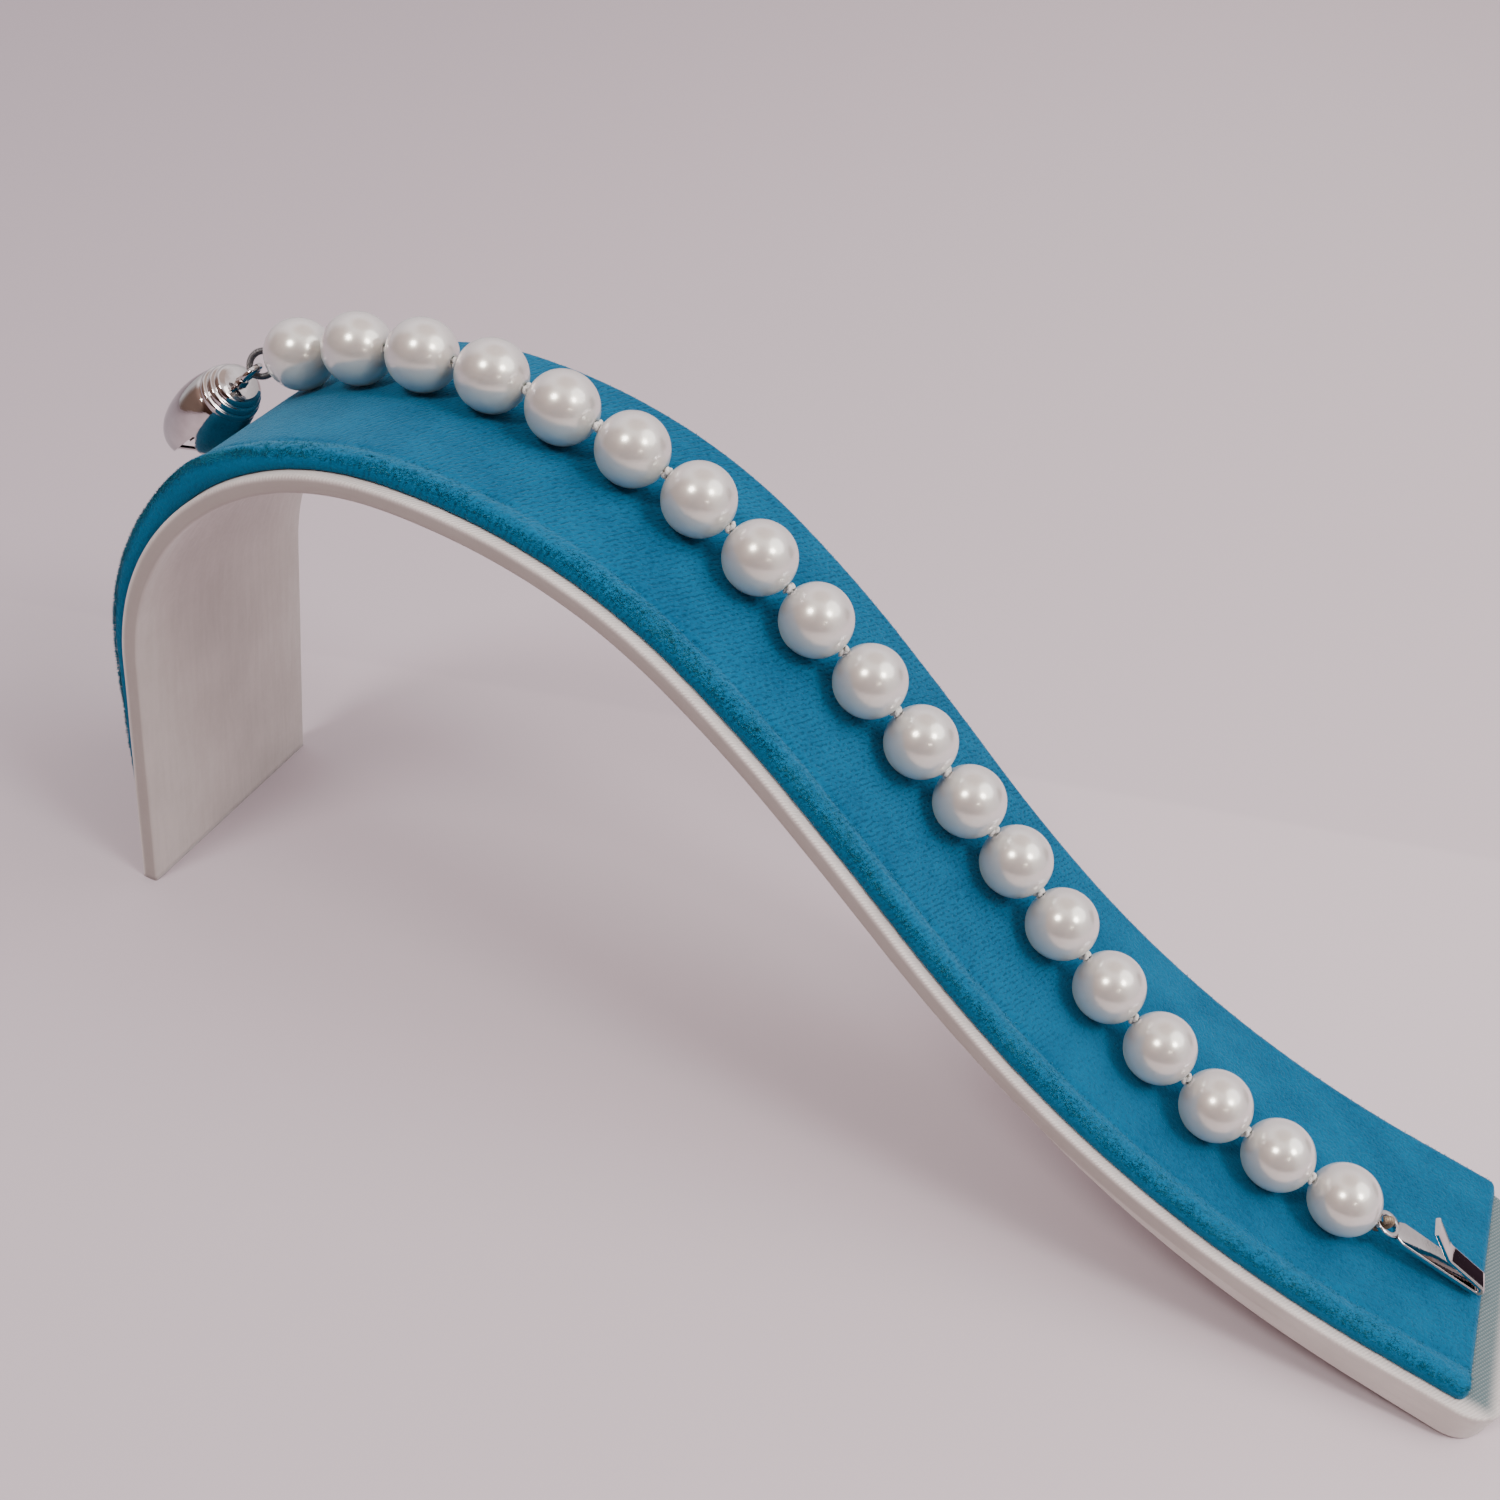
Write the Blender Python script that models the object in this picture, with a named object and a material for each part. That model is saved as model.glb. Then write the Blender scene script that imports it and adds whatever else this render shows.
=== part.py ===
# Pearl bracelet lying open on a velvet covered display ramp.
# Metres, +Z up. X runs from the ramp's leg to its toe and Y across the ramp.
# The ramp line is a chain of straights and arcs in the XZ plane. A run is a length along it from the floor,
# and a height is a distance square to it, towards the velvet.

import math

import bmesh
import bpy
import numpy as np
from mathutils import Matrix, Vector

MM = 0.001

# Fits
SEAT_GAP = 0.3 * MM  # between pieces that touch
HOLE_CLEARANCE = 0.2 * MM  # round the thread in a drilled pearl

# Ramp
RAMP_WIDTH = 32.6 * MM
LEG_LENGTH = 34.1 * MM
BEND_LENGTH = 192.8 * MM
TOE_LENGTH = 10.3 * MM  # straight under the velvet's front end
NOSE_LENGTH = 5.1 * MM  # bare end in front of the velvet
BOARD_TOP = 0.6 * MM  # height of the board's top face over the ramp line
BOARD_THICKNESS = 2.1 * MM
TOE_THICKNESS = 4.7 * MM
TOE_SWELL = 60.0 * MM  # length over which the board thickens towards the toe
BOARD_EDGE = 0.5 * MM
TOE_CORNER = 5.6 * MM  # plan radius of the toe's corners
NOSE_ROUND = 1.9 * MM
BOARD_STEP = 4.2 * MM
NOSE_ANGLES = (0, 20, 40, 55, 68, 79, 90)  # of the toe's corner at each of its sections

# Bends of the ramp: name, share of BEND_LENGTH, turn in degrees (minus bends over the arch)
RAMP_BENDS = (
    ("shoulder", 2 / 11, -57.5),
    ("crown", 1 / 11, -30.9),
    ("crest", 1 / 11, -15.8),
    ("brow", 1 / 11, -17.9),
    ("slope", 1 / 11, -7.2),
    ("flank", 1 / 11, -1.8),
    ("dip", 1 / 11, 5.1),
    ("hollow", 3 / 11, 24.9),
)

# Velvet
VELVET_THICKNESS = 1.2 * MM
VELVET_START = 14.0 * MM  # run of its lower end on the leg
VELVET_TAPER = 20.0 * MM
VELVET_TAPER_SHARE = 0.45  # thickness left at its lower end
VELVET_NEAR_INSET = 1.2 * MM
VELVET_FAR_INSET = 0.05 * MM
VELVET_ROUND = 0.6 * MM
VELVET_FRONT_DROP = 0.36 * MM  # of its front edge below its top
VELVET_RISE = 1.35 * MM  # most that the padding swells over the shoulder

# Swell of the padding: share of BEND_LENGTH past the leg, share of VELVET_RISE
VELVET_SWELL = (
    (-0.100, 0.00),
    (-0.070, 0.22),
    (0.000, 0.30),
    (0.083, 0.48),
    (0.114, 0.66),
    (0.135, 0.89),
    (0.150, 1.00),
    (0.165, 0.82),
    (0.190, 0.42),
    (0.215, 0.10),
    (0.240, 0.00),
)

# Pearls and thread
PEARL_COUNT = 19
PEARL_DIAMETER = 8.0 * MM
PEARL_PITCH = 8.67 * MM
PEARL_SIDES = 12
PEARL_BANDS = 8
FIRST_PEARL_START = 33.5 * MM  # run of its centre past the leg
THREAD_DIAMETER = 0.6 * MM
KNOT_DIAMETER = 1.4 * MM
KNOT_LENGTH = 0.56 * MM
THREAD_SIDES = 6
KNOT_PROFILE = ((-0.5, 0.0), (-0.22, 1.0), (0.22, 1.0), (0.5, 0.0))  # share of its length, of its swell

# Route of the string across the ramp: Y of evenly spaced points from the first pearl to the last
STRING_ROUTE = (
    20.2 * MM, 18.9 * MM, 18.1 * MM, 17.2 * MM, 16.4 * MM,
    17.0 * MM, 17.6 * MM, 15.5 * MM, 12.9 * MM, 12.9 * MM,
)
ROUTE_STEPS = 16  # between two of those points
WALK_STEP = 0.05 * MM  # along the route, while the pearls are placed

# Clasp shell: a hollow olive with a gaping mouth, and an eye at its other end
SHELL_LENGTH = 14.0 * MM
SHELL_WIDTH = 9.3 * MM
SHELL_HEIGHT = 8.3 * MM
SHELL_WALL = 0.55 * MM
SHELL_SIDES = 20
SHELL_START = 20.6 * MM  # run of its middle past the leg
SHELL_LIFT = 0.95 * MM  # from the velvet to its belly
SHELL_Y = 19.0 * MM
SHELL_PITCH_ANGLE = 50.7  # degrees above level, mouth to eye
SHELL_YAW_ANGLE = 2.0
BAR_DIAMETER = 0.5 * MM
EYE_WIRE = 0.8 * MM
EYE_HOLE = 1.6 * MM
EYE_NECK = 1.3 * MM  # from the shell's flat end to the eye's hole
NECK_DIAMETER = 1.3 * MM  # of the post that carries the eye
EYE_SIDES = 20
WIRE_SIDES = 8
RIDGES_START = 0.78  # share of SHELL_LENGTH where the hollow narrows

# Shell sections: share of SHELL_LENGTH from the mouth, share of the full girth
SHELL_SECTIONS = (
    (0.020, 0.38),
    (0.055, 0.54),
    (0.120, 0.71),
    (0.220, 0.86),
    (0.350, 0.96),
    (0.500, 1.00),
    (0.640, 0.965),
    (0.740, 0.89),
    (0.780, 0.82),
    (0.800, 0.845),
    (0.830, 0.825),
    (0.845, 0.75),
    (0.865, 0.765),
    (0.895, 0.735),
    (0.910, 0.65),
    (0.930, 0.655),
    (0.955, 0.61),
    (0.975, 0.48),
)

# Mouth cut across the shell: share of SHELL_LENGTH from the mouth, share of SHELL_HEIGHT over its axis
MOUTH_OUTLINE = (
    (-0.30, -0.02),
    (0.46, -0.13),
    (0.48, -0.15),
    (0.46, -0.18),
    (0.37, -0.25),
    (0.30, -0.36),
    (0.26, -0.60),
    (-0.30, -0.60),
)

# Ends of the bar that bridges the mouth: shares of SHELL_LENGTH, SHELL_WIDTH and SHELL_HEIGHT from the middle
BAR_ENDS = (
    (-0.425, -0.265, 0.02),
    (-0.185, -0.100, -0.435),
)

# Clasp tongue: a flat strip with an eye, folded back at its tip into a leaf with a raised thumb tab
TONGUE_LENGTH = 12.0 * MM  # from the eye's centre to the fold
TONGUE_EYE_WIDTH = 3.2 * MM
TONGUE_EYE_HOLE = 2.0 * MM
STRIP_NECK_WIDTH = 2.3 * MM  # where the strip leaves the eye's ring
STRIP_SHOULDER = 2.1 * MM  # from the eye's centre to the strip's full width
STRIP_WIDTH = 3.0 * MM
TONGUE_TIP_WIDTH = 2.6 * MM
LEAF_WIDTH = 2.4 * MM
STRIP_THICKNESS = 0.7 * MM
LEAF_THICKNESS = 0.55 * MM
LEAF_LENGTH = 5.0 * MM
FOLD_BEND = 1.0 * MM  # between the middles of strip and leaf at the tip
FOLD_STEP = 30  # degrees between sections of the fold
LEAF_ANGLE = 8.0  # by which the leaf leans away from the strip
TAB_LENGTH = 4.3 * MM
TAB_ANGLE = 32.0
STRIP_BEVEL = 0.14 * MM
TONGUE_REACH = 5.6 * MM  # of its eye's centre past the last pearl's centre, along the string
TONGUE_SWAY = 0.7 * MM
TONGUE_DROP = 0.25 * MM  # square to the string
TONGUE_SLOPE_ANGLE = -4.7  # from the string's direction
TONGUE_YAW_ANGLE = 4.1

# Wire guards: coiled wire sleeves that carry the thread round each eye
SHELL_GUARD_WIRE = 0.8 * MM
SHELL_GUARD_SPREAD = 2.7 * MM
TONGUE_GUARD_WIRE = 0.7 * MM
TONGUE_GUARD_SPREAD = 2.2 * MM
GUARD_GAP = 0.5 * MM  # from a pearl to the ends of its guard
GUARD_STEPS = 3  # between two points of its outline

# Half of a guard, from the pearl to the far end: share of its length, share of its half spread
GUARD_LEG = ((0.0, 0.66), (0.22, 0.92), (0.4, 1.0), (0.64, 0.9), (0.82, 0.64), (0.94, 0.32), (1.0, 0.0))

# Edges that turn more than this stay sharp, in degrees
SHARP_ANGLE = 35.0
ROUND_ANGLE = 60.0

# Materials: name, base colour, roughness, metallic
MATERIALS = (
    ("white_satin", (0.82, 0.79, 0.76), 0.55, 0.0),
    ("teal_velvet", (0.02, 0.24, 0.40), 0.95, 0.0),
    ("pearl", (0.88, 0.86, 0.84), 0.22, 0.0),
    ("white_silk", (0.90, 0.88, 0.84), 0.80, 0.0),
    ("polished_white_metal", (0.80, 0.79, 0.78), 0.12, 1.0),
    ("coiled_wire", (0.55, 0.50, 0.42), 0.45, 1.0),
)


def along_ramp(run):
    """X, Z and direction angle of the ramp line at this run."""
    x, z, angle, left = 0.0, 0.0, math.pi / 2, run
    parts = [(LEG_LENGTH, 0.0)]
    parts += [(share * BEND_LENGTH, math.radians(turn)) for _, share, turn in RAMP_BENDS]
    parts += [(TOE_LENGTH + NOSE_LENGTH, 0.0)]
    for number, (length, turn) in enumerate(parts):
        last = number == len(parts) - 1
        step = left if last else min(left, length)
        bend = turn * step / length
        chord = step if abs(bend) < 1e-9 else 2 * step / bend * math.sin(bend / 2)
        x += chord * math.cos(angle + bend / 2)
        z += chord * math.sin(angle + bend / 2)
        angle += bend
        left -= step
        if left <= 0:
            break
    return x, z, angle


def over_ramp(run, height, y):
    x, z, angle = along_ramp(run)
    return Vector((x - height * math.sin(angle), y, z + height * math.cos(angle)))


def velvet_end():
    return LEG_LENGTH + BEND_LENGTH + TOE_LENGTH


def velvet_top():
    return BOARD_TOP + SEAT_GAP + VELVET_THICKNESS


def velvet_rise(run):
    share = (run - LEG_LENGTH) / BEND_LENGTH
    return VELVET_RISE * float(np.interp(share, *zip(*VELVET_SWELL)))


def smooth_path(points, steps):
    """A smooth curve through the points, with so many steps between two of them."""
    ends = [2 * points[0] - points[1], *points, 2 * points[-1] - points[-2]]
    path = []
    for before, start, end, after in zip(ends, ends[1:], ends[2:], ends[3:]):
        leave, arrive = (end - before) / 2, (after - start) / 2
        for step in range(steps):
            t = step / steps
            blend = t * t * (3 - 2 * t)
            bow = leave * t * (1 - t) ** 2 - arrive * t * t * (1 - t)
            path.append(start + (end - start) * blend + bow)
    return path + [points[-1]]


def make_material(name, colour, roughness, metallic):
    material = bpy.data.materials.new(name)
    material.use_nodes = True
    shader = material.node_tree.nodes["Principled BSDF"]
    shader.inputs["Base Color"].default_value = (*colour, 1.0)
    shader.inputs["Roughness"].default_value = roughness
    shader.inputs["Metallic"].default_value = metallic
    return material


def make_object(name, mesh, material, sharp_angle=SHARP_ANGLE):
    mesh.shade_smooth()
    mesh.set_sharp_from_angle(angle=math.radians(sharp_angle))
    if not mesh.materials:
        mesh.materials.append(material)
    thing = bpy.data.objects.new(name, mesh)
    bpy.context.scene.collection.objects.link(thing)
    return thing


def mesh_from_rings(name, rings, ring_closed=False):
    """Joins rings of equal point counts into one closed skin, capped at both ends or joined end to end."""
    mesh = bpy.data.meshes.new(name)
    bm = bmesh.new()
    rows = [[bm.verts.new(point) for point in ring] for ring in rings]
    pairs = list(zip(rows, rows[1:]))
    if ring_closed:
        pairs.append((rows[-1], rows[0]))
    for first, second in pairs:
        for i in range(len(first)):
            j = (i + 1) % len(first)
            bm.faces.new((first[i], first[j], second[j], second[i]))
    if not ring_closed:
        bm.faces.new(rows[0])
        bm.faces.new(rows[-1])
    bmesh.ops.recalc_face_normals(bm, faces=bm.faces)
    bm.to_mesh(mesh)
    bm.free()
    return mesh


def sweep_tube(name, path, radii, sides):
    """A round tube along a path of vectors, with a radius for each of its points."""
    rings = []
    side = None
    for i, point in enumerate(path):
        ahead = (path[min(i + 1, len(path) - 1)] - path[max(i - 1, 0)]).normalized()
        if side is None:
            side = ahead.orthogonal().normalized()
        side = (side - ahead * side.dot(ahead)).normalized()
        up = ahead.cross(side)
        angles = [2 * math.pi * k / sides for k in range(sides)]
        rings.append([point + radii[i] * (side * math.cos(a) + up * math.sin(a)) for a in angles])
    return mesh_from_rings(name, rings)


def add_boolean(thing, other, operation):
    cut = thing.modifiers.new(f"{operation} {other.name}".lower(), "BOOLEAN")
    cut.operation = operation
    cut.object = other
    other.hide_render = True
    other.display_type = "WIRE"
    other.matrix_world = thing.matrix_world


def frame_matrix(origin, ahead, side):
    """A frame at the origin whose X looks ahead and whose Y lies near the given side."""
    ahead = ahead.normalized()
    up = ahead.cross(side).normalized()
    side = up.cross(ahead)
    turn = Matrix((ahead, side, up)).transposed().to_4x4()
    return Matrix.Translation(origin) @ turn


def spread_runs(start, end, step):
    count = max(2, round((end - start) / step))
    return [start + (end - start) * i / count for i in range(count + 1)]


def board_ring(run, side_inset, face_inset):
    """One section of the board, an oblong with cut edges."""
    total = velvet_end() + NOSE_LENGTH
    swell = min(1.0, max(0.0, (run - total + TOE_SWELL) / TOE_SWELL))
    thickness = BOARD_THICKNESS + (TOE_THICKNESS - BOARD_THICKNESS) * swell
    near, far = side_inset, RAMP_WIDTH - side_inset
    high = BOARD_TOP - face_inset
    low = BOARD_TOP - thickness + face_inset
    edge = min(BOARD_EDGE, (high - low) / 3)
    corners = (
        (near, low + edge), (near, high - edge), (near + edge, high), (far - edge, high),
        (far, high - edge), (far, low + edge), (far - edge, low), (near + edge, low),
    )
    return [over_ramp(run, height, y) for y, height in corners]


def build_board(material):
    total = velvet_end() + NOSE_LENGTH
    nose = []
    for angle in np.radians(NOSE_ANGLES):
        back = TOE_CORNER * (1 - math.sin(angle))
        inset = TOE_CORNER * (1 - math.cos(angle))
        depth = max(0.0, 1 - back / NOSE_ROUND)
        nose.append(board_ring(total - back, inset, NOSE_ROUND * (1 - math.sqrt(1 - depth**2))))
    floor = min(point.z for ring in nose for point in ring)
    rings = [board_ring(run, 0.0, 0.0) for run in spread_runs(floor, total - TOE_CORNER, BOARD_STEP)]
    return make_object("ramp_board", mesh_from_rings("ramp_board", rings[:-1] + nose), material)


def velvet_ring(run, shrink):
    share = min(1.0, (run - VELVET_START) / VELVET_TAPER)
    full = VELVET_THICKNESS * (VELVET_TAPER_SHARE + (1 - VELVET_TAPER_SHARE) * share) + velvet_rise(run)
    low = BOARD_TOP + SEAT_GAP
    high = low + full - shrink
    near = VELVET_NEAR_INSET + shrink
    far = RAMP_WIDTH - VELVET_FAR_INSET - shrink
    edge = VELVET_ROUND * full / VELVET_THICKNESS
    cut = edge * (1 - math.sqrt(0.5))
    corners = (
        (near, low), (near, high - edge), (near + cut, high - cut), (near + edge, high),
        (far - edge, high), (far - cut, high - cut), (far, high - edge), (far, low),
    )
    return [over_ramp(run, height, y) for y, height in corners]


def build_velvet(material):
    runs = spread_runs(VELVET_START, velvet_end() - VELVET_ROUND, BOARD_STEP)
    rings = [velvet_ring(run, 0.0) for run in runs]
    rings.append(velvet_ring(velvet_end(), VELVET_FRONT_DROP))
    return make_object("velvet_pad", mesh_from_rings("velvet_pad", rings), material)


def string_centres():
    """Centres of the pearls, a pitch apart along the string's route over the velvet."""
    height = velvet_top() + SEAT_GAP + PEARL_DIAMETER / 2
    knots = [Vector((y, 0.0)) for y in STRING_ROUTE]
    route = [point.x for point in smooth_path(knots, ROUTE_STEPS)]
    length = PEARL_PITCH * (PEARL_COUNT - 1)
    run = LEG_LENGTH + FIRST_PEARL_START
    place = over_ramp(run, height + velvet_rise(run), route[0])
    centres, gone, since = [place], 0.0, 0.0
    while len(centres) < PEARL_COUNT:
        run += WALK_STEP
        share = min(1.0, (gone + WALK_STEP) / length)
        y = float(np.interp(share * (len(route) - 1), range(len(route)), route))
        nearer = over_ramp(run, height + velvet_rise(run), y)
        moved = (nearer - place).length
        gone, since, place = gone + moved, since + moved, nearer
        if since >= PEARL_PITCH:
            centres.append(place)
            since -= PEARL_PITCH
    return centres


def string_axes(centres):
    """Direction of each pearl's drilled hole, from the shell end to the tongue end."""
    last = len(centres) - 1
    return [(centres[min(i + 1, last)] - centres[max(i - 1, 0)]).normalized() for i in range(last + 1)]


def build_pearls(centres, axes, material):
    radius = PEARL_DIAMETER / 2
    hole = THREAD_DIAMETER / 2 + HOLE_CLEARANCE
    start = math.asin(hole / radius)
    rings = []
    for band in range(PEARL_BANDS + 1):
        polar = start + (math.pi - 2 * start) * band / PEARL_BANDS
        turns = [2 * math.pi * k / PEARL_SIDES for k in range(PEARL_SIDES)]
        x, girth = -radius * math.cos(polar), radius * math.sin(polar)
        rings.append([Vector((x, girth * math.cos(a), girth * math.sin(a))) for a in turns])
    mesh = mesh_from_rings("pearl", rings, ring_closed=True)
    for number, (centre, axis) in enumerate(zip(centres, axes), 1):
        pearl = make_object(f"pearl_{number:02d}", mesh, material, ROUND_ANGLE)
        pearl.matrix_world = frame_matrix(centre, axis, Vector((0, 1, 0)))


def build_thread(centres, axes, material):
    """The thread runs through every pearl and swells into a knot between two of them."""
    reach = PEARL_DIAMETER / 2
    thin, thick = THREAD_DIAMETER / 2, KNOT_DIAMETER / 2
    path, radii = [centres[0] - axes[0] * reach], [thin]
    for i in range(len(centres) - 1):
        leave = centres[i] + axes[i] * reach
        enter = centres[i + 1] - axes[i + 1] * reach
        middle, ahead = (leave + enter) / 2, (enter - leave).normalized()
        path.append(leave - axes[i] * 2 * SEAT_GAP)
        radii.append(thin)
        for share, swell in KNOT_PROFILE:
            path.append(middle + ahead * share * KNOT_LENGTH)
            radii.append(thin + (thick - thin) * swell)
        path.append(enter + axes[i + 1] * 2 * SEAT_GAP)
        radii.append(thin)
    path.append(centres[-1] + axes[-1] * reach)
    radii.append(thin)
    return make_object("silk_thread", sweep_tube("silk_thread", path, radii, THREAD_SIDES), material)


def shell_frame():
    """Frame at the middle of the shell, X from its mouth to its eye and Z out of the velvet."""
    run = LEG_LENGTH + SHELL_START
    height = velvet_top() + velvet_rise(run) + SHELL_LIFT + SHELL_HEIGHT / 2
    pitch, yaw = math.radians(SHELL_PITCH_ANGLE), math.radians(SHELL_YAW_ANGLE)
    ahead = Vector((math.cos(pitch), math.tan(yaw), math.sin(pitch)))
    return frame_matrix(over_ramp(run, height, SHELL_Y), ahead, Vector((0, 1, 0)))


def shell_ring(share, girth, wall):
    x = (share - 0.5) * SHELL_LENGTH
    turns = [2 * math.pi * (k + 0.5) / SHELL_SIDES for k in range(SHELL_SIDES)]
    half_width = SHELL_WIDTH / 2 * girth - wall
    half_height = SHELL_HEIGHT / 2 * girth - wall
    return [Vector((x, half_width * math.cos(a), half_height * math.sin(a))) for a in turns]


def shell_cap():
    """X of the flat end that carries the eye."""
    return (SHELL_SECTIONS[-1][0] - 0.5) * SHELL_LENGTH


def eye_centre():
    return shell_cap() + EYE_NECK + EYE_HOLE / 2


def ring_mesh(name, centre_x, hole, wire):
    """A wire ring in the XY plane."""
    rings = []
    for k in range(EYE_SIDES):
        turn = 2 * math.pi * k / EYE_SIDES
        out = Vector((math.cos(turn), math.sin(turn), 0.0))
        middle = Vector((centre_x, 0.0, 0.0)) + out * (hole + wire) / 2
        angles = [2 * math.pi * j / WIRE_SIDES for j in range(WIRE_SIDES)]
        rings.append([middle + wire / 2 * (out * math.cos(a) + Vector((0, 0, math.sin(a)))) for a in angles])
    return mesh_from_rings(name, rings, ring_closed=True)


def build_shell(material):
    """Hollow olive with ridges at its eye end, a gaping mouth with a bar across it, and an eye."""
    outer = [shell_ring(share, girth, 0.0) for share, girth in SHELL_SECTIONS]
    hollow = [row for row in SHELL_SECTIONS if row[0] <= RIDGES_START]
    inner = [shell_ring(share, girth, SHELL_WALL) for share, girth in hollow]
    last_share, last_girth = SHELL_SECTIONS[-1]
    bottom = shell_ring(last_share - SHELL_WALL / SHELL_LENGTH, last_girth, SHELL_WALL)
    mesh = mesh_from_rings("clasp_shell", [bottom] + inner[::-1] + outer)
    shell = make_object("clasp_shell", mesh, material)
    shell.matrix_world = shell_frame()

    outline = [((share - 0.5) * SHELL_LENGTH, rise * SHELL_HEIGHT) for share, rise in MOUTH_OUTLINE]
    rings = [[Vector((x, y, z)) for x, z in outline] for y in (-SHELL_WIDTH, SHELL_WIDTH)]
    cutter = mesh_from_rings("mouth_cutter", rings)
    add_boolean(shell, make_object("mouth_cutter", cutter, material), "DIFFERENCE")

    ends = [Vector((x * SHELL_LENGTH, y * SHELL_WIDTH, z * SHELL_HEIGHT)) for x, y, z in BAR_ENDS]
    bar = sweep_tube("mouth_bar", ends, [BAR_DIAMETER / 2] * 2, WIRE_SIDES)
    add_boolean(shell, make_object("mouth_bar", bar, material), "UNION")

    cap = shell_cap()
    ends = [Vector((cap - SHELL_WALL / 2, 0, 0)), Vector((cap + EYE_NECK - EYE_WIRE / 2, 0, 0))]
    neck = sweep_tube("eye_neck", ends, [NECK_DIAMETER / 2] * 2, WIRE_SIDES)
    add_boolean(shell, make_object("eye_neck", neck, material), "UNION")

    eye = ring_mesh("shell_eye", eye_centre(), EYE_HOLE, EYE_WIRE)
    add_boolean(shell, make_object("shell_eye", eye, material), "UNION")
    return shell


def tongue_frame(last_centre, last_axis):
    """Frame at the tongue's eye, X along the strip and Z out of it."""
    string_end = frame_matrix(last_centre, last_axis, Vector((0, 1, 0)))
    slope, yaw = math.radians(TONGUE_SLOPE_ANGLE), math.radians(TONGUE_YAW_ANGLE)
    ahead = Vector((math.cos(slope) * math.cos(yaw), math.cos(slope) * math.sin(yaw), math.sin(slope)))
    eye = Vector((TONGUE_REACH, TONGUE_SWAY, -TONGUE_DROP))
    return string_end @ frame_matrix(eye, ahead, Vector((0, 1, 0)))


def tongue_path():
    """Rows of x, z, width and thickness along the folded strip, from the eye to the tab's end."""
    start = (TONGUE_EYE_HOLE + TONGUE_EYE_WIDTH) / 4
    rows = [(start, 0.0, STRIP_NECK_WIDTH, STRIP_THICKNESS)]
    rows.append((STRIP_SHOULDER, 0.0, STRIP_WIDTH, STRIP_THICKNESS))
    for angle in range(0, 181, FOLD_STEP):
        share = angle / 180
        x = TONGUE_LENGTH + FOLD_BEND / 2 * math.sin(math.radians(angle))
        z = FOLD_BEND / 2 * (1 - math.cos(math.radians(angle)))
        width = TONGUE_TIP_WIDTH + (LEAF_WIDTH - TONGUE_TIP_WIDTH) * share
        rows.append((x, z, width, STRIP_THICKNESS + (LEAF_THICKNESS - STRIP_THICKNESS) * share))
    lean, turn = math.radians(LEAF_ANGLE), math.radians(TAB_ANGLE)
    leaf, tab = Vector((-math.cos(lean), math.sin(lean))), Vector((-math.cos(turn), math.sin(turn)))
    corner = Vector((TONGUE_LENGTH, FOLD_BEND)) + leaf * LEAF_LENGTH
    kink = LEAF_THICKNESS / 2
    for point in (corner - leaf * kink, corner + tab * kink, corner + tab * TAB_LENGTH):
        rows.append((*point, LEAF_WIDTH, LEAF_THICKNESS))
    return rows


def build_tongue(place, material):
    rows = tongue_path()
    rings = []
    for i, (x, z, width, thickness) in enumerate(rows):
        before, after = rows[max(i - 1, 0)], rows[min(i + 1, len(rows) - 1)]
        ahead = Vector((after[0] - before[0], 0, after[1] - before[1])).normalized()
        out = Vector((-ahead.z, 0, ahead.x))
        w, t, b = width / 2, thickness / 2, STRIP_BEVEL
        corners = (
            (-w, -t + b), (-w, t - b), (-w + b, t), (w - b, t),
            (w, t - b), (w, -t + b), (w - b, -t), (-w + b, -t),
        )
        rings.append([Vector((x, y, z)) + out * n for y, n in corners])
    tongue = make_object("clasp_tongue", mesh_from_rings("clasp_tongue", rings), material)
    tongue.matrix_world = place

    hole, rim, half = TONGUE_EYE_HOLE / 2, TONGUE_EYE_WIDTH / 2, STRIP_THICKNESS / 2
    section = (
        (hole, -half), (rim - STRIP_BEVEL, -half), (rim, -half + STRIP_BEVEL),
        (rim, half - STRIP_BEVEL), (rim - STRIP_BEVEL, half), (hole, half),
    )
    turns = [2 * math.pi * k / EYE_SIDES for k in range(EYE_SIDES)]
    washer = [[Vector((r * math.cos(a), r * math.sin(a), z)) for r, z in section] for a in turns]
    eye = mesh_from_rings("tongue_eye", washer, ring_closed=True)
    add_boolean(tongue, make_object("tongue_eye", eye, material), "UNION")
    return tongue


def build_guard(name, pearl_side, far_end, up, wire, spread, material):
    """A U of wire sleeve, its two ends at the pearl's hole and its bend in the eye."""
    ahead = far_end - pearl_side
    up = (up - ahead.normalized() * up.dot(ahead.normalized())).normalized()
    half = [(share, rise) for share, rise in GUARD_LEG]
    outline = half + [(share, -rise) for share, rise in half[-2::-1]]
    points = [pearl_side + ahead * share + up * rise * spread / 2 for share, rise in outline]
    path = smooth_path(points, GUARD_STEPS)
    mesh = sweep_tube(name, path, [wire / 2] * len(path), WIRE_SIDES)
    return make_object(name, mesh, material, ROUND_ANGLE)


def stand_at_origin(things):
    """Moves everything together, so that the middle of the bounding box's bottom is the origin."""
    bpy.context.view_layer.update()
    graph = bpy.context.evaluated_depsgraph_get()
    corners = [
        thing.matrix_world @ vertex.co
        for thing in things if not thing.hide_render
        for vertex in thing.evaluated_get(graph).data.vertices
    ]
    low = Vector([min(corner[k] for corner in corners) for k in range(3)])
    high = Vector([max(corner[k] for corner in corners) for k in range(3)])
    shift = Vector((-(low.x + high.x) / 2, -(low.y + high.y) / 2, -low.z))
    for thing in things:
        thing.matrix_world = Matrix.Translation(shift) @ thing.matrix_world


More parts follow.
